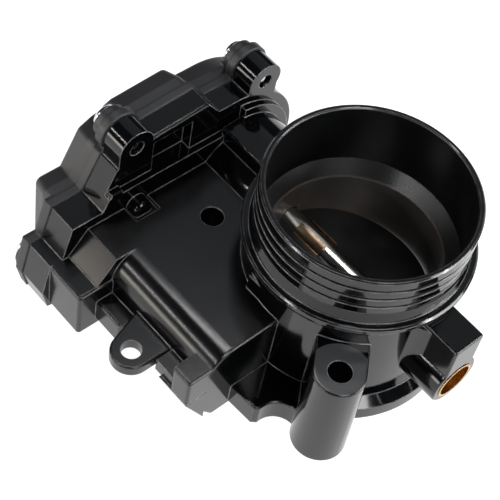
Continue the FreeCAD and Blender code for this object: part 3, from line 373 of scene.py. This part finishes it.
@dataclass(frozen=True)
class CastingFinish(Finish):
    """Gloss-black coating of the housing, with a satin machined seat that carries painted reflection and painted
    brownish highlights, and leathery flat faces.

    Args:
        seat_radius: Inside this radius the bore is machined.
        seat_top: Height where the machined seat ends.
        seat_tone_and_sheen: Lighter grey of the machined seat, partly its own tone and partly painted reflection.
        seat_painted_highlight: Brownish painted highlight that the seat drifts towards in patches.
        cone_tone: Colour of the cone above it, kept darker than the seat's painted reflection.
        cone_foot: Height where the cone starts.
        seat_roughness: Roughness of the machined seat.
        turned_scale: Scale of the seat's turning marks.
        turned_relief: Height of the turning marks, against the grain's.
        turned_gloss: How far they move the roughness.
        highlight_patch_scale: Scale of the seat's patches of painted brownish highlight.
        post_place: Centre (x, y) of the front post, whose top is faced.
        post_radius: How far the facing reaches.
        post_top: Height above which the post's top is faced.
        faced_tone: Colour of the faced top.
        inlet_radius: Inside this radius the inlet's wall is duller.
        inlet_roughness: Roughness that the inlet's wall adds.
        deck_edge_x: The leathery faces lie on the motor's side of this x.
        deck_edge_y: The leathery faces lie beyond this y.
        deck_fades: How far they fade out along x, y and z.
        leather_scale: Scale of the leathery relief.
        leather_depth: Height of the leathery relief, against the grain's.
        leather_roughness: Roughness that the leathery faces add.
        deck_top: The leathery faces lie below this height.
    """

    seat_radius: float = 33.4
    seat_top: float = 45.4
    seat_tone_and_sheen: Colour = (0.034, 0.031, 0.030)
    seat_painted_highlight: Colour = (0.055, 0.044, 0.036)
    cone_tone: Colour = (0.008, 0.008, 0.009)
    cone_foot: float = 40.4
    seat_roughness: float = 0.27
    turned_scale: float = 900.0
    turned_relief: float = 0.15
    turned_gloss: float = 0.05
    highlight_patch_scale: float = 60.0
    post_place: tuple[float, float] = (31.02, -35.31)
    post_radius: float = 10.0
    post_top: float = 38.85
    faced_tone: Colour = (0.032, 0.033, 0.035)
    inlet_radius: float = 33.15
    inlet_roughness: float = 0.24
    deck_edge_x: float = 4.0
    deck_edge_y: float = -13.5
    deck_fades: tuple[float, float, float] = (0.4, 0.5, 0.5)
    leather_scale: float = 420.0
    leather_depth: float = 4.0
    leather_roughness: float = 0.12
    deck_top: float = 35.0

    def surface(self, graph: Graph, place: Wire) -> tuple[Wire, Wire, Wire]:
        """Works out what varies over the casting.

        Args:
            graph: The material's graph.
            place: Position on the object.

        Returns:
            Colour, roughness and relief height.
        """
        colour, roughness, fine = super().surface(graph, place)
        x, y, z = graph.axes(place)
        radius = x.hypotenuse(y)
        seat = graph.below(radius, self.seat_radius, CRISP) * graph.below(z, self.seat_top, SOFT)
        turned = graph.node(
            "ShaderNodeTexWave",
            {"wave_type": "BANDS", "bands_direction": "Z"},
            {"Vector": place, "Scale": self.turned_scale, "Distortion": 1.5, "Detail": 2.0},
            output="Fac",
        )
        # Painted light on the seat: patches of brownish painted highlight, and a lighter grey that is partly the
        # machined seat's own tone and partly painted reflection; the cone above is kept darker.
        highlight_patches = graph.remap(graph.noise(place, self.highlight_patch_scale, 2.0), (0.4, 0.65), (0.0, 1.0))
        seat_with_highlights = graph.mix_colour(highlight_patches, self.seat_tone_and_sheen, self.seat_painted_highlight)
        machined = graph.mix_colour(graph.above(z, self.cone_foot, SOFT), seat_with_highlights, self.cone_tone)
        colour = graph.mix_colour(seat, colour, machined)
        roughness = roughness * (1 - seat) + seat * (self.seat_roughness + turned * self.turned_gloss)
        inlet = graph.below(radius, self.inlet_radius, CRISP) * (1 - seat)
        roughness = roughness + inlet * self.inlet_roughness
        post_x, post_y = self.post_place
        from_post = (x - post_x * MM).hypotenuse(y - post_y * MM)
        faced = graph.below(from_post, self.post_radius, SOFT) * graph.above(z, self.post_top, CRISP)
        colour = graph.mix_colour(faced, colour, self.faced_tone)
        roughness = roughness + faced * self.leather_roughness
        leather = graph.node(
            "ShaderNodeTexNoise",
            {},
            {"Vector": place, "Scale": self.leather_scale, "Detail": 4.0, "Roughness": 0.6},
        )
        fade_x, fade_y, fade_z = self.deck_fades
        leathery = graph.below(x, self.deck_edge_x, fade_x) * graph.below(y, self.deck_edge_y, fade_y)
        leathery = leathery * graph.below(z, self.deck_top, fade_z)
        height = fine * (1 - seat) + turned * seat * self.turned_relief
        height = height + leather * leathery * self.leather_depth
        return colour, roughness + leathery * self.leather_roughness, height


@dataclass(frozen=True)
class PlateFinish(Finish):
    """Satin black of the throttle plate, with moulding marks and a few dark specks.

    Args:
        mark_places: Centres (x, y) of the round marks.
        mark_radius: Radius of a round mark.
        mark_fade: Width of its soft edge.
        mark_relief: Its height, against the grain's.
        mark_gloss: Roughness that it adds.
        speck_tone: Colour of the specks.
        speck_scale: Scale of the cells that hold a speck each.
        speck_spread: Scale of the areas where specks show.
        speck_depth: Depth of a speck, against the grain's height.
        speck_roughness: Roughness that it adds.
    """

    mark_places: tuple[tuple[float, float], ...] = ((9.0, 13.0), (-4.0, 21.0), (17.0, -9.0))
    mark_radius: float = 2.6
    mark_fade: float = 0.5
    mark_relief: float = 4.0
    mark_gloss: float = 0.06
    speck_tone: Colour = (0.002, 0.002, 0.002)
    speck_scale: float = 260.0
    speck_spread: float = 70.0
    speck_depth: float = 3.0
    speck_roughness: float = 0.3

    def surface(self, graph: Graph, place: Wire) -> tuple[Wire, Wire, Wire]:
        """Works out what varies over the plate.

        Args:
            graph: The material's graph.
            place: Position on the object.

        Returns:
            Colour, roughness and relief height.
        """
        colour, roughness, fine = super().surface(graph, place)
        x, y, _ = graph.axes(place)
        height = fine
        for mark_x, mark_y in self.mark_places:
            from_mark = (x - mark_x * MM).hypotenuse(y - mark_y * MM)
            disc = graph.below(from_mark, self.mark_radius - self.mark_fade, self.mark_fade)
            height = height + disc * self.mark_relief
            roughness = roughness + disc * self.mark_gloss
            colour = graph.mix_colour(disc * 0.5, colour, self.drift)
        cells = graph.node(
            "ShaderNodeTexVoronoi", {}, {"Vector": place, "Scale": self.speck_scale, "Randomness": 1.0}
        )
        chosen = graph.remap(graph.noise(place, self.speck_spread, 1.0), (0.58, 0.62), (0.0, 1.0))
        specks = graph.remap(cells, (0.09, 0.13), (1.0, 0.0)) * chosen
        colour = graph.mix_colour(specks, colour, self.speck_tone)
        return colour, roughness + specks * self.speck_roughness, height - specks * self.speck_depth


FINISHES: dict[str, Finish] = {
    "cast_black": CastingFinish(
        base=(0.0010, 0.0011, 0.0014), drift=(0.0016, 0.0018, 0.0022), roughness=0.09, roughness_spread=0.05,
        # The edge tone and share paint a pale highlight line along the casting's sharp edges.
        grain_size=0.55, grain_depth=0.0025, edge_round=0.7, edge_highlight_share=0.75,
    ),
    "cover_black": Finish(
        base=(0.014, 0.014, 0.0155), drift=(0.018, 0.018, 0.0195), roughness=0.44, grain_size=0.35,
        # The edge tone and share paint a faint highlight line along the cover's sharp edges.
        grain_depth=0.008, edge_round=1.1, edge_highlight_tone=(0.07, 0.07, 0.073), edge_highlight_share=0.5,
    ),
    "seal_rubber": Finish(base=(0.012, 0.012, 0.013), drift=(0.018, 0.018, 0.018), roughness=0.7),
    "zinc_steel": Finish(
        base=(0.72, 0.73, 0.76), drift=(0.62, 0.66, 0.74), roughness=0.2, metallic=1.0, grain_size=0.25,
        grain_depth=0.004, edge_round=0.12,
    ),
    "bearing_steel": Finish(
        base=(0.5, 0.5, 0.51), drift=(0.42, 0.42, 0.43), roughness=0.28, metallic=1.0, grain=Grain.ALONG_SHAFT
    ),
    "plug_brass": Finish(
        base=(0.55, 0.33, 0.11), drift=(0.42, 0.23, 0.06), roughness=0.26, metallic=1.0, grain_size=0.3,
        grain_depth=0.003, patch_size=4.0, edge_round=0.15,
    ),
    "shaft_steel": Finish(
        base=(0.66, 0.64, 0.61), drift=(0.58, 0.56, 0.53), roughness=0.17, metallic=1.0, grain=Grain.ALONG_SHAFT,
        grain_size=0.12, grain_depth=0.0012, edge_round=0.2,
    ),
    "plate_black": PlateFinish(
        base=(0.005, 0.005, 0.0055), drift=(0.013, 0.0125, 0.0125), roughness=0.33, grain_size=0.5,
        grain_depth=0.006, edge_round=0.25,
    ),
    "clip_bronze": Finish(
        base=(0.36, 0.25, 0.16), drift=(0.22, 0.15, 0.10), roughness=0.33, metallic=1.0, grain=Grain.ALONG_SHAFT,
        grain_size=0.2, grain_depth=0.004, patch_size=3.0, edge_round=0.15,
    ),
    "gear_plastic": Finish(
        base=(0.66, 0.60, 0.46), drift=(0.60, 0.54, 0.40), roughness=0.45, edge_round=0.12
    ),
    "ferrite": Finish(base=(0.05, 0.05, 0.052), drift=(0.07, 0.07, 0.072), roughness=0.6, grain_depth=0.012),
    "spring_steel": Finish(
        base=(0.26, 0.26, 0.27), drift=(0.20, 0.19, 0.18), roughness=0.3, metallic=1.0, grain_size=0.2
    ),
    "can_steel": Finish(
        base=(0.5, 0.5, 0.5), drift=(0.44, 0.45, 0.46), roughness=0.3, metallic=1.0, grain=Grain.ALONG_SHAFT
    ),
    "holder_plastic": Finish(base=(0.02, 0.02, 0.02), drift=(0.028, 0.028, 0.028), roughness=0.5),
    "carbon": Finish(base=(0.025, 0.025, 0.026), drift=(0.04, 0.04, 0.04), roughness=0.55, grain_depth=0.012),
    "pin_tin": Finish(
        base=(0.66, 0.66, 0.66), drift=(0.58, 0.58, 0.57), roughness=0.25, metallic=1.0, edge_round=0.08
    ),
    "board_green": Finish(base=(0.012, 0.10, 0.045), drift=(0.016, 0.13, 0.06), roughness=0.4, coat=0.4),
}


class Palette:
    """Builds each finish once and lends it out by slot name."""

    def __init__(self, finishes: Mapping[str, Finish]) -> None:
        """Keeps the finishes; none is built yet."""
        self.finishes = finishes
        self.built: dict[str, bpy.types.Material] = {}

    def material(self, slot: str) -> bpy.types.Material:
        """The material of a slot, built at its first use.

        Args:
            slot: The slot's name.

        Returns:
            The slot's material.
        """
        if slot not in self.built:
            self.built[slot] = self.finishes[slot].build("finish_" + slot)
        return self.built[slot]


# ---------------------------------------------------------------------------
# Geometry trees
# ---------------------------------------------------------------------------
class ShapeTree:
    """A Geometry Nodes tree with named inputs, run once to give a plain mesh."""

    def __init__(self, name: str, inputs: Mapping[str, tuple[str, Any]]) -> None:
        """Starts the tree.

        Args:
            name: Name of the tree.
            inputs: Input name to its socket type and first value.
        """
        self.tree = bpy.data.node_groups.new(name, "GeometryNodeTree")
        self.graph = Graph(self.tree)
        self.tree.interface.new_socket("Geometry", in_out="INPUT", socket_type="NodeSocketGeometry")
        self.ids: dict[str, str] = {}
        for label, (kind, first) in inputs.items():
            socket = self.tree.interface.new_socket(label, in_out="INPUT", socket_type=kind)
            if first is not None:
                socket.default_value = first
            self.ids[label] = socket.identifier
        self.tree.interface.new_socket("Geometry", in_out="OUTPUT", socket_type="NodeSocketGeometry")
        self.start = self.tree.nodes.new("NodeGroupInput")

    def given(self, label: str) -> Wire:
        """One of the tree's inputs."""
        return Wire(self.graph, self.start.outputs[label])

    def finish(self, geometry: Wire) -> None:
        """Ends the tree in Realize Instances and Set Material.

        Args:
            geometry: What the tree has made.
        """
        real = self.graph.node("GeometryNodeRealizeInstances", {}, {0: geometry})
        smooth = self.graph.node("GeometryNodeSetShadeSmooth", {}, {"Geometry": real, "Shade Smooth": True})
        dressed = self.graph.node(
            "GeometryNodeSetMaterial", {}, {"Geometry": smooth, "Material": self.given("Material")}
        )
        self.graph.add("NodeGroupOutput", {}, {0: dressed})

    def run(self, name: str, points: Sequence[Vector], values: Mapping[str, Any]) -> bpy.types.Object:
        """Runs the tree on some points and keeps the result as a plain mesh.

        Args:
            name: Name of the finished object.
            points: Places the tree works from.
            values: Input name to its value.

        Returns:
            The finished object, at the origin, with no modifier.
        """
        seed = bpy.data.meshes.new(name + "_points")
        seed.from_pydata([tuple(point) for point in points], [], [])
        made = bpy.data.objects.new(name, seed)
        bpy.context.scene.collection.objects.link(made)
        modifier = made.modifiers.new("shape", "NODES")
        modifier.node_group = self.tree
        for label, value in values.items():
            modifier[self.ids[label]] = value
        graph = bpy.context.evaluated_depsgraph_get()
        mesh = bpy.data.meshes.new_from_object(made.evaluated_get(graph), depsgraph=graph)
        made.modifiers.remove(modifier)
        made.data = mesh
        bpy.data.meshes.remove(seed)
        return made


class Turn(Enum):
    """Which way an instanced, turned piece points, as Euler angles."""

    TOWARDS_COVER = (0.0, -math.pi / 2, 0.0)


@dataclass
class LatheTree:
    """Turned pieces of any outline, with an optional thread and a lobed recess.

    Args:
        name: Name of the tree.
        outline: (share of the way, radius, height) of the outline, in millimetres.
        around: Faces around the axis.
        along: Faces along the outline.
        lobes: Lobes of the recess.
        merge: Points nearer than this become one, in millimetres.
    """

    name: str
    outline: Sequence[tuple[float, float, float]]
    around: int = 40
    along: int = 110
    lobes: int = 6
    merge: float = 0.002

    def curve(self, graph: Graph, share: Wire, column: int, scale: float) -> Wire:
        """Reads one column of the outline as a curve over its share of the way.

        Args:
            graph: The tree's graph.
            share: Share of the way along the outline.
            column: 1 for the radius, 2 for the height.
            scale: Millimetres that the curve's top stands for.

        Returns:
            The value in metres.
        """
        node = graph.add("ShaderNodeFloatCurve", {}, {"Value": share})
        line = node.mapping.curves[0]
        for number, point in enumerate(self.outline):
            place = (point[0], point[column] / scale)
            if number in (0, len(self.outline) - 1):
                line.points[0 if number == 0 else len(line.points) - 1].location = place
            else:
                line.points.new(*place)
        for point in line.points:
            point.handle_type = "VECTOR"
        node.mapping.update()
        return Wire(graph, node.outputs[0]) * (scale * MM)

    def build(self) -> ShapeTree:
        """Makes the tree.

        Returns:
            The tree, ready to run.
        """
        shape = ShapeTree(
            self.name,
            {
                "Material": ("NodeSocketMaterial", None),
                "Turn": ("NodeSocketRotation", None),
                "Thread Pitch": ("NodeSocketFloat", 0.7 * MM),
                "Thread Depth": ("NodeSocketFloat", 0.0),
                "Thread Start": ("NodeSocketFloat", 0.0),
                "Thread End": ("NodeSocketFloat", 1.0),
                "Lobe Depth": ("NodeSocketFloat", 0.0),
                "Lobe Start": ("NodeSocketFloat", 1.0),
            },
        )
        graph = shape.graph
        grid = graph.node(
            "GeometryNodeMeshGrid",
            {},
            {"Size X": 1.0, "Size Y": 1.0, "Vertices X": self.around + 1, "Vertices Y": self.along + 1},
        )
        across, along, _ = graph.axes(graph.node("GeometryNodeInputPosition"))
        angle = (across + 0.5) * math.tau
        share = along + 0.5
        tallest = max(point[2] for point in self.outline)
        widest = max(point[1] for point in self.outline)
        height = self.curve(graph, share, 2, tallest)
        radius = self.curve(graph, share, 1, widest)
        after = share.greater(shape.given("Thread Start"))
        before = shape.given("Thread End").greater(share)
        winding = (height / shape.given("Thread Pitch") * math.tau - angle).sine()
        radius = radius + winding * shape.given("Thread Depth") * after * before
        lobed = share.greater(shape.given("Lobe Start"))
        radius = radius * (1 + (angle * float(self.lobes)).cosine() * shape.given("Lobe Depth") * lobed)
        place = graph.node(
            "ShaderNodeCombineXYZ", {}, {0: radius * angle.cosine(), 1: radius * angle.sine(), 2: height}
        )
        moved = graph.node("GeometryNodeSetPosition", {}, {"Geometry": grid, "Position": place})
        closed = graph.node("GeometryNodeMergeByDistance", {}, {"Geometry": moved, "Distance": self.merge * MM})
        spread = graph.node(
            "GeometryNodeInstanceOnPoints",
            {},
            {"Points": shape.given("Geometry"), "Instance": closed, "Rotation": shape.given("Turn")},
        )
        shape.finish(spread)
        return shape


# ---------------------------------------------------------------------------
# Sub-assemblies
# ---------------------------------------------------------------------------
@dataclass
class FrameDressing:
    """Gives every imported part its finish.

    Args:
        palette: Lends out the finishes.
        slots: Part name to its slot's name.
    """

    palette: Palette
    slots: Mapping[str, str]

    def dress(self) -> None:
        """Puts each part's finish in place of the plain one it came with."""
        for node, part in frame["nodes"].items():
            material = self.palette.material(self.slots[node])
            for place in part.material_slots:
                place.material = material
            log.info("%s wears %s", node, material.name)


@dataclass
class CoverScrews:
    """The four domed screws that hold the gear cover, with real threads and lobed recesses.

    Args:
        palette: Lends out the finishes.
        places: Centres (y, z) of the screws.
        tip_x: Where the tips end.
        seat_x: Underside of the heads.
        shank: Radius of the shank.
        head: Radius of the head.
        rise: Height of the head.
        pitch: Pitch of the thread.
        thread_depth: Height of the thread over the shank's core.
        thread_span: Shares of the outline between which the thread runs.
        lobe_depth: Depth of the recess's lobes, against its radius.
        lobe_start: Share of the outline where the recess starts.
    """

    palette: Palette
    places: Sequence[tuple[float, float]] = ((-42.5, 58.0), (11.6, 56.2), (-72.0, 11.5), (21.0, 1.5))
    tip_x: float = -61.6
    seat_x: float = -75.63
    shank: float = 1.92
    head: float = 4.55
    rise: float = 2.95
    pitch: float = 0.9
    thread_depth: float = 0.1
    thread_span: tuple[float, float] = (0.06, 0.6)
    lobe_depth: float = 0.13
    lobe_start: float = 0.905

    def outline(self) -> list[tuple[float, float, float]]:
        """The screw's outline from the tip's centre over the head and into the recess.

        Returns:
            (share of the way, radius, height) in millimetres.
        """
        length = self.tip_x - self.seat_x
        top = length + self.rise
        core = self.shank - self.thread_depth
        start, end = self.thread_span
        return [
            (0.0, 0.0, 0.0),
            (start / 2, self.shank * 0.62, 0.0),
            (start, core, 0.7),
            (end, core, length - 1.6),
            (0.64, self.shank, length - 1.2),
            (0.68, self.shank, length),
            (0.71, self.head - 0.15, length),
            (0.73, self.head, length + 0.2),
            (0.77, self.head, length + 0.95),
            (0.81, self.head * 0.92, length + 1.8),
            (0.85, self.head * 0.70, length + 2.6),
            (0.88, self.head * 0.5, top),
            (0.90, self.head * 0.42, top),
            (0.92, self.head * 0.39, top - 0.15),
            (0.97, self.head * 0.36, top - 1.3),
            (1.0, 0.0, top - 1.45),
        ]

    def build(self) -> list[bpy.types.Object]:
        """Makes the screws in place of the plain ones.

        Returns:
            The finished pieces.
        """
        tree = LatheTree("turned_cover_screw", self.outline()).build()
        points = [Vector((self.tip_x, y, z)) * MM for y, z in self.places]
        screws = tree.run(
            "cover_screws_threaded",
            points,
            {
                "Material": self.palette.material("zinc_steel"),
                "Turn": Turn.TOWARDS_COVER.value,
                "Thread Pitch": self.pitch * MM,
                "Thread Depth": self.thread_depth * MM,
                "Thread Start": self.thread_span[0],
                "Thread End": self.thread_span[1],
                "Lobe Depth": self.lobe_depth,
                "Lobe Start": self.lobe_start,
            },
        )
        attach(screws, "body")
        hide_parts("cover_screws")
        return [screws]


@dataclass
class ReturnSpring:
    """Coil spring around the sector's hub, wound along its own path.

    Args:
        palette: Lends out the finishes.
        start_x: Centre of the first coil.
        shaft_z: Height of the shaft.
        coil: Radius of the coil.
        wire: Radius of the wire.
        turns: Number of turns.
        pitch: Distance between turns.
        steps: Points in each turn.
        sides: Sides of the wire's section.
    """

    palette: Palette
    start_x: float = -62.3
    shaft_z: float = 25.3
    coil: float = 11.0
    wire: float = 0.9
    turns: int = 4
    pitch: float = 2.3
    steps: int = 64
    sides: int = 18

    def build(self) -> list[bpy.types.Object]:
        """Winds the spring in place of the plain one.

        Returns:
            The finished piece.
        """
        shape = ShapeTree(
            "wound_spring",
            {
                "Material": ("NodeSocketMaterial", None),
                "Coil Radius": ("NodeSocketFloat", self.coil * MM),
                "Wire Radius": ("NodeSocketFloat", self.wire * MM),
                "Turns": ("NodeSocketFloat", float(self.turns)),
                "Length": ("NodeSocketFloat", self.turns * self.pitch * MM),
            },
        )
        graph = shape.graph
        path = graph.node(
            "GeometryNodeCurveSpiral",
            {},
            {
                "Resolution": self.steps,
                "Rotations": shape.given("Turns"),
                "Start Radius": shape.given("Coil Radius"),
                "End Radius": shape.given("Coil Radius"),
                "Height": shape.given("Length"),
            },
        )
        ring = graph.node(
            "GeometryNodeCurvePrimitiveCircle",
            {},
            {"Resolution": self.sides, "Radius": shape.given("Wire Radius")},
        )
        coil = graph.node(
            "GeometryNodeCurveToMesh", {}, {"Curve": path, "Profile Curve": ring, "Fill Caps": True}
        )
        laid = graph.node("GeometryNodeTransform", {}, {"Geometry": coil, "Rotation": (0.0, math.pi / 2, 0.0)})
        spread = graph.node(
            "GeometryNodeInstanceOnPoints", {}, {"Points": shape.given("Geometry"), "Instance": laid}
        )
        shape.finish(spread)
        spring = shape.run(
            "return_spring_wound",
            [Vector((self.start_x, 0.0, self.shaft_z)) * MM],
            {"Material": self.palette.material("spring_steel")},
        )
        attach(spring, "body")
        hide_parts("return_spring")
        return [spring]


# ---------------------------------------------------------------------------
# Studio
# ---------------------------------------------------------------------------
@dataclass(frozen=True)
class SoftLight:
    """One area light.

    Args:
        name: Its name.
        place: Where it stands, in metres.
        aim: What it points at, in metres.
        size: Width and height, in metres.
        power: Watts.
        colour: Tint.
    """

    name: str
    place: tuple[float, float, float]
    aim: tuple[float, float, float]
    size: tuple[float, float]
    power: float
    colour: Colour = (1.0, 1.0, 1.0)

    def build(self) -> bpy.types.Object:
        """Hangs the light.

        Returns:
            The light.
        """
        lamp = bpy.data.lights.new(self.name, "AREA")
        lamp.shape = "RECTANGLE"
        lamp.size, lamp.size_y = self.size
        lamp.energy = self.power
        lamp.color = self.colour
        holder = bpy.data.objects.new(self.name, lamp)
        holder.location = self.place
        holder.rotation_euler = (Vector(self.aim) - Vector(self.place)).to_track_quat("-Z", "Y").to_euler()
        bpy.context.scene.collection.objects.link(holder)
        return holder


@dataclass
class Studio:
    """Camera, pale floor, soft lights and a plain dome.

    Args:
        azimuth: Camera azimuth, in degrees.
        elevation: Camera elevation, in degrees.
        roll: Camera roll, in degrees.
        camera_place: Camera position, in metres.
        lens: Focal length, in millimetres.
        sensor: Width of the sensor, in millimetres.
        floor_z: Height of the floor, in metres.
        floor_half: Half the floor's width, in metres.
        floor_tone: Colour of the floor.
        floor_roughness: Roughness of the floor.
        floor_glow: Strength of the floor's own light, which keeps it pale.
        dome_tone: Colour of the dome.
        lights: The soft lights.
    """

    azimuth: float = 38.83
    elevation: float = 52.85
    roll: float = -12.77
    camera_place: tuple[float, float, float] = (0.14848, -0.23631, 0.39208)
    lens: float = 100.8
    sensor: float = 36.0
    floor_z: float = -0.0163
    floor_half: float = 1.6
    floor_tone: Colour = (0.30, 0.30, 0.30)
    floor_roughness: float = 0.9
    floor_glow: float = 0.93
    dome_tone: Colour = (0.03, 0.031, 0.034)
    lights: Sequence[SoftLight] = field(
        default_factory=lambda: (
            SoftLight("key", (0.52, -0.12, 0.72), (0.0, 0.0, 0.02), (0.35, 0.35), 4.5),
            SoftLight("right", (0.62, 0.42, 0.28), (0.02, 0.0, 0.02), (0.5, 0.3), 5.5),
            SoftLight("front", (-0.30, -0.72, 0.10), (-0.03, -0.02, 0.03), (0.9, 0.14), 3.0, (1.0, 0.93, 0.85)),
            SoftLight("overhead", (-0.30, 0.10, 0.90), (0.0, 0.0, 0.03), (0.50, 0.05), 1.8),
            SoftLight("front_strip", (-0.26, -0.62, 0.46), (-0.03, -0.02, 0.03), (0.9, 0.02), 2.2),
            SoftLight("right_strip", (0.70, 0.40, 0.34), (0.0, 0.0, 0.03), (0.9, 0.02), 2.2),
            SoftLight("back", (-0.42, 0.48, 0.85), (0.0, 0.0, 0.03), (0.95, 0.95), 0.80, (0.86, 0.92, 1.0)),
        )
    )

    def camera(self) -> None:
        """Sets the camera up."""
        azimuth, elevation, roll = (math.radians(v) for v in (self.azimuth, self.elevation, self.roll))
        back = Vector(
            (math.sin(azimuth) * math.cos(elevation), -math.cos(azimuth) * math.cos(elevation), math.sin(elevation))
        )
        level = Vector((math.cos(azimuth), math.sin(azimuth), 0.0))
        up = back.cross(level)
        right = level * math.cos(roll) - up * math.sin(roll)
        above = up * math.cos(roll) + level * math.sin(roll)
        place = Matrix((right, above, back)).transposed().to_4x4()
        place.translation = Vector(self.camera_place)
        lens = bpy.data.cameras.new("camera")
        lens.lens = self.lens
        lens.sensor_width = self.sensor
        camera = bpy.data.objects.new("camera", lens)
        camera.matrix_world = place
        bpy.context.scene.collection.objects.link(camera)
        bpy.context.scene.camera = camera

    def floor(self) -> None:
        """Lays the pale floor."""
        half = self.floor_half
        mesh = bpy.data.meshes.new("floor")
        corners = [(-half, -half), (half, -half), (half, half), (-half, half)]
        mesh.from_pydata([(x, y, self.floor_z) for x, y in corners], [], [(0, 1, 2, 3)])
        plane = bpy.data.objects.new("floor", mesh)
        bpy.context.scene.collection.objects.link(plane)
        material = bpy.data.materials.new("floor_white")
        material.use_nodes = True
        material.node_tree.nodes.clear()
        graph = Graph(material.node_tree)
        shader = graph.node(
            "ShaderNodeBsdfPrincipled",
            {},
            {
                "Base Color": (*self.floor_tone, 1.0),
                "Roughness": self.floor_roughness,
                "Emission Color": (1.0, 1.0, 1.0, 1.0),
                "Emission Strength": self.floor_glow,
            },
        )
        graph.add("ShaderNodeOutputMaterial", {}, {"Surface": shader})
        mesh.materials.append(material)

    def dome(self) -> None:
        """Puts up the plain, dim dome."""
        world = bpy.data.worlds.new("dome")
        bpy.context.scene.world = world
        world.use_nodes = True
        world.node_tree.nodes.clear()
        graph = Graph(world.node_tree)
        shader = graph.node("ShaderNodeBackground", {}, {"Color": (*self.dome_tone, 1.0), "Strength": 1.0})
        graph.add("ShaderNodeOutputWorld", {}, {"Surface": shader})

    def build(self) -> None:
        """Builds the whole studio."""
        self.camera()
        self.floor()
        self.dome()
        for light in self.lights:
            light.build()
        view = bpy.context.scene.view_settings
        view.view_transform = "Standard"
        view.look = "None"
        log.info("studio with %d lights", len(self.lights))


def main() -> None:
    """Dresses the frame, adds the finer pieces, and sets the studio up."""
    logging.basicConfig(level=logging.INFO, format="%(name)s: %(message)s")
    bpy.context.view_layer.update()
    palette = Palette(FINISHES)
    subparts = frame["record"]["subparts"]
    FrameDressing(palette, {part["node"]: part["material_slot"] for part in subparts}).dress()
    for maker in (CoverScrews(palette), ReturnSpring(palette)):
        for piece in maker.build():
            log.info("%s: %d faces", piece.name, len(piece.data.polygons))
    Studio().build()


if __name__ == "__main__":
    main()
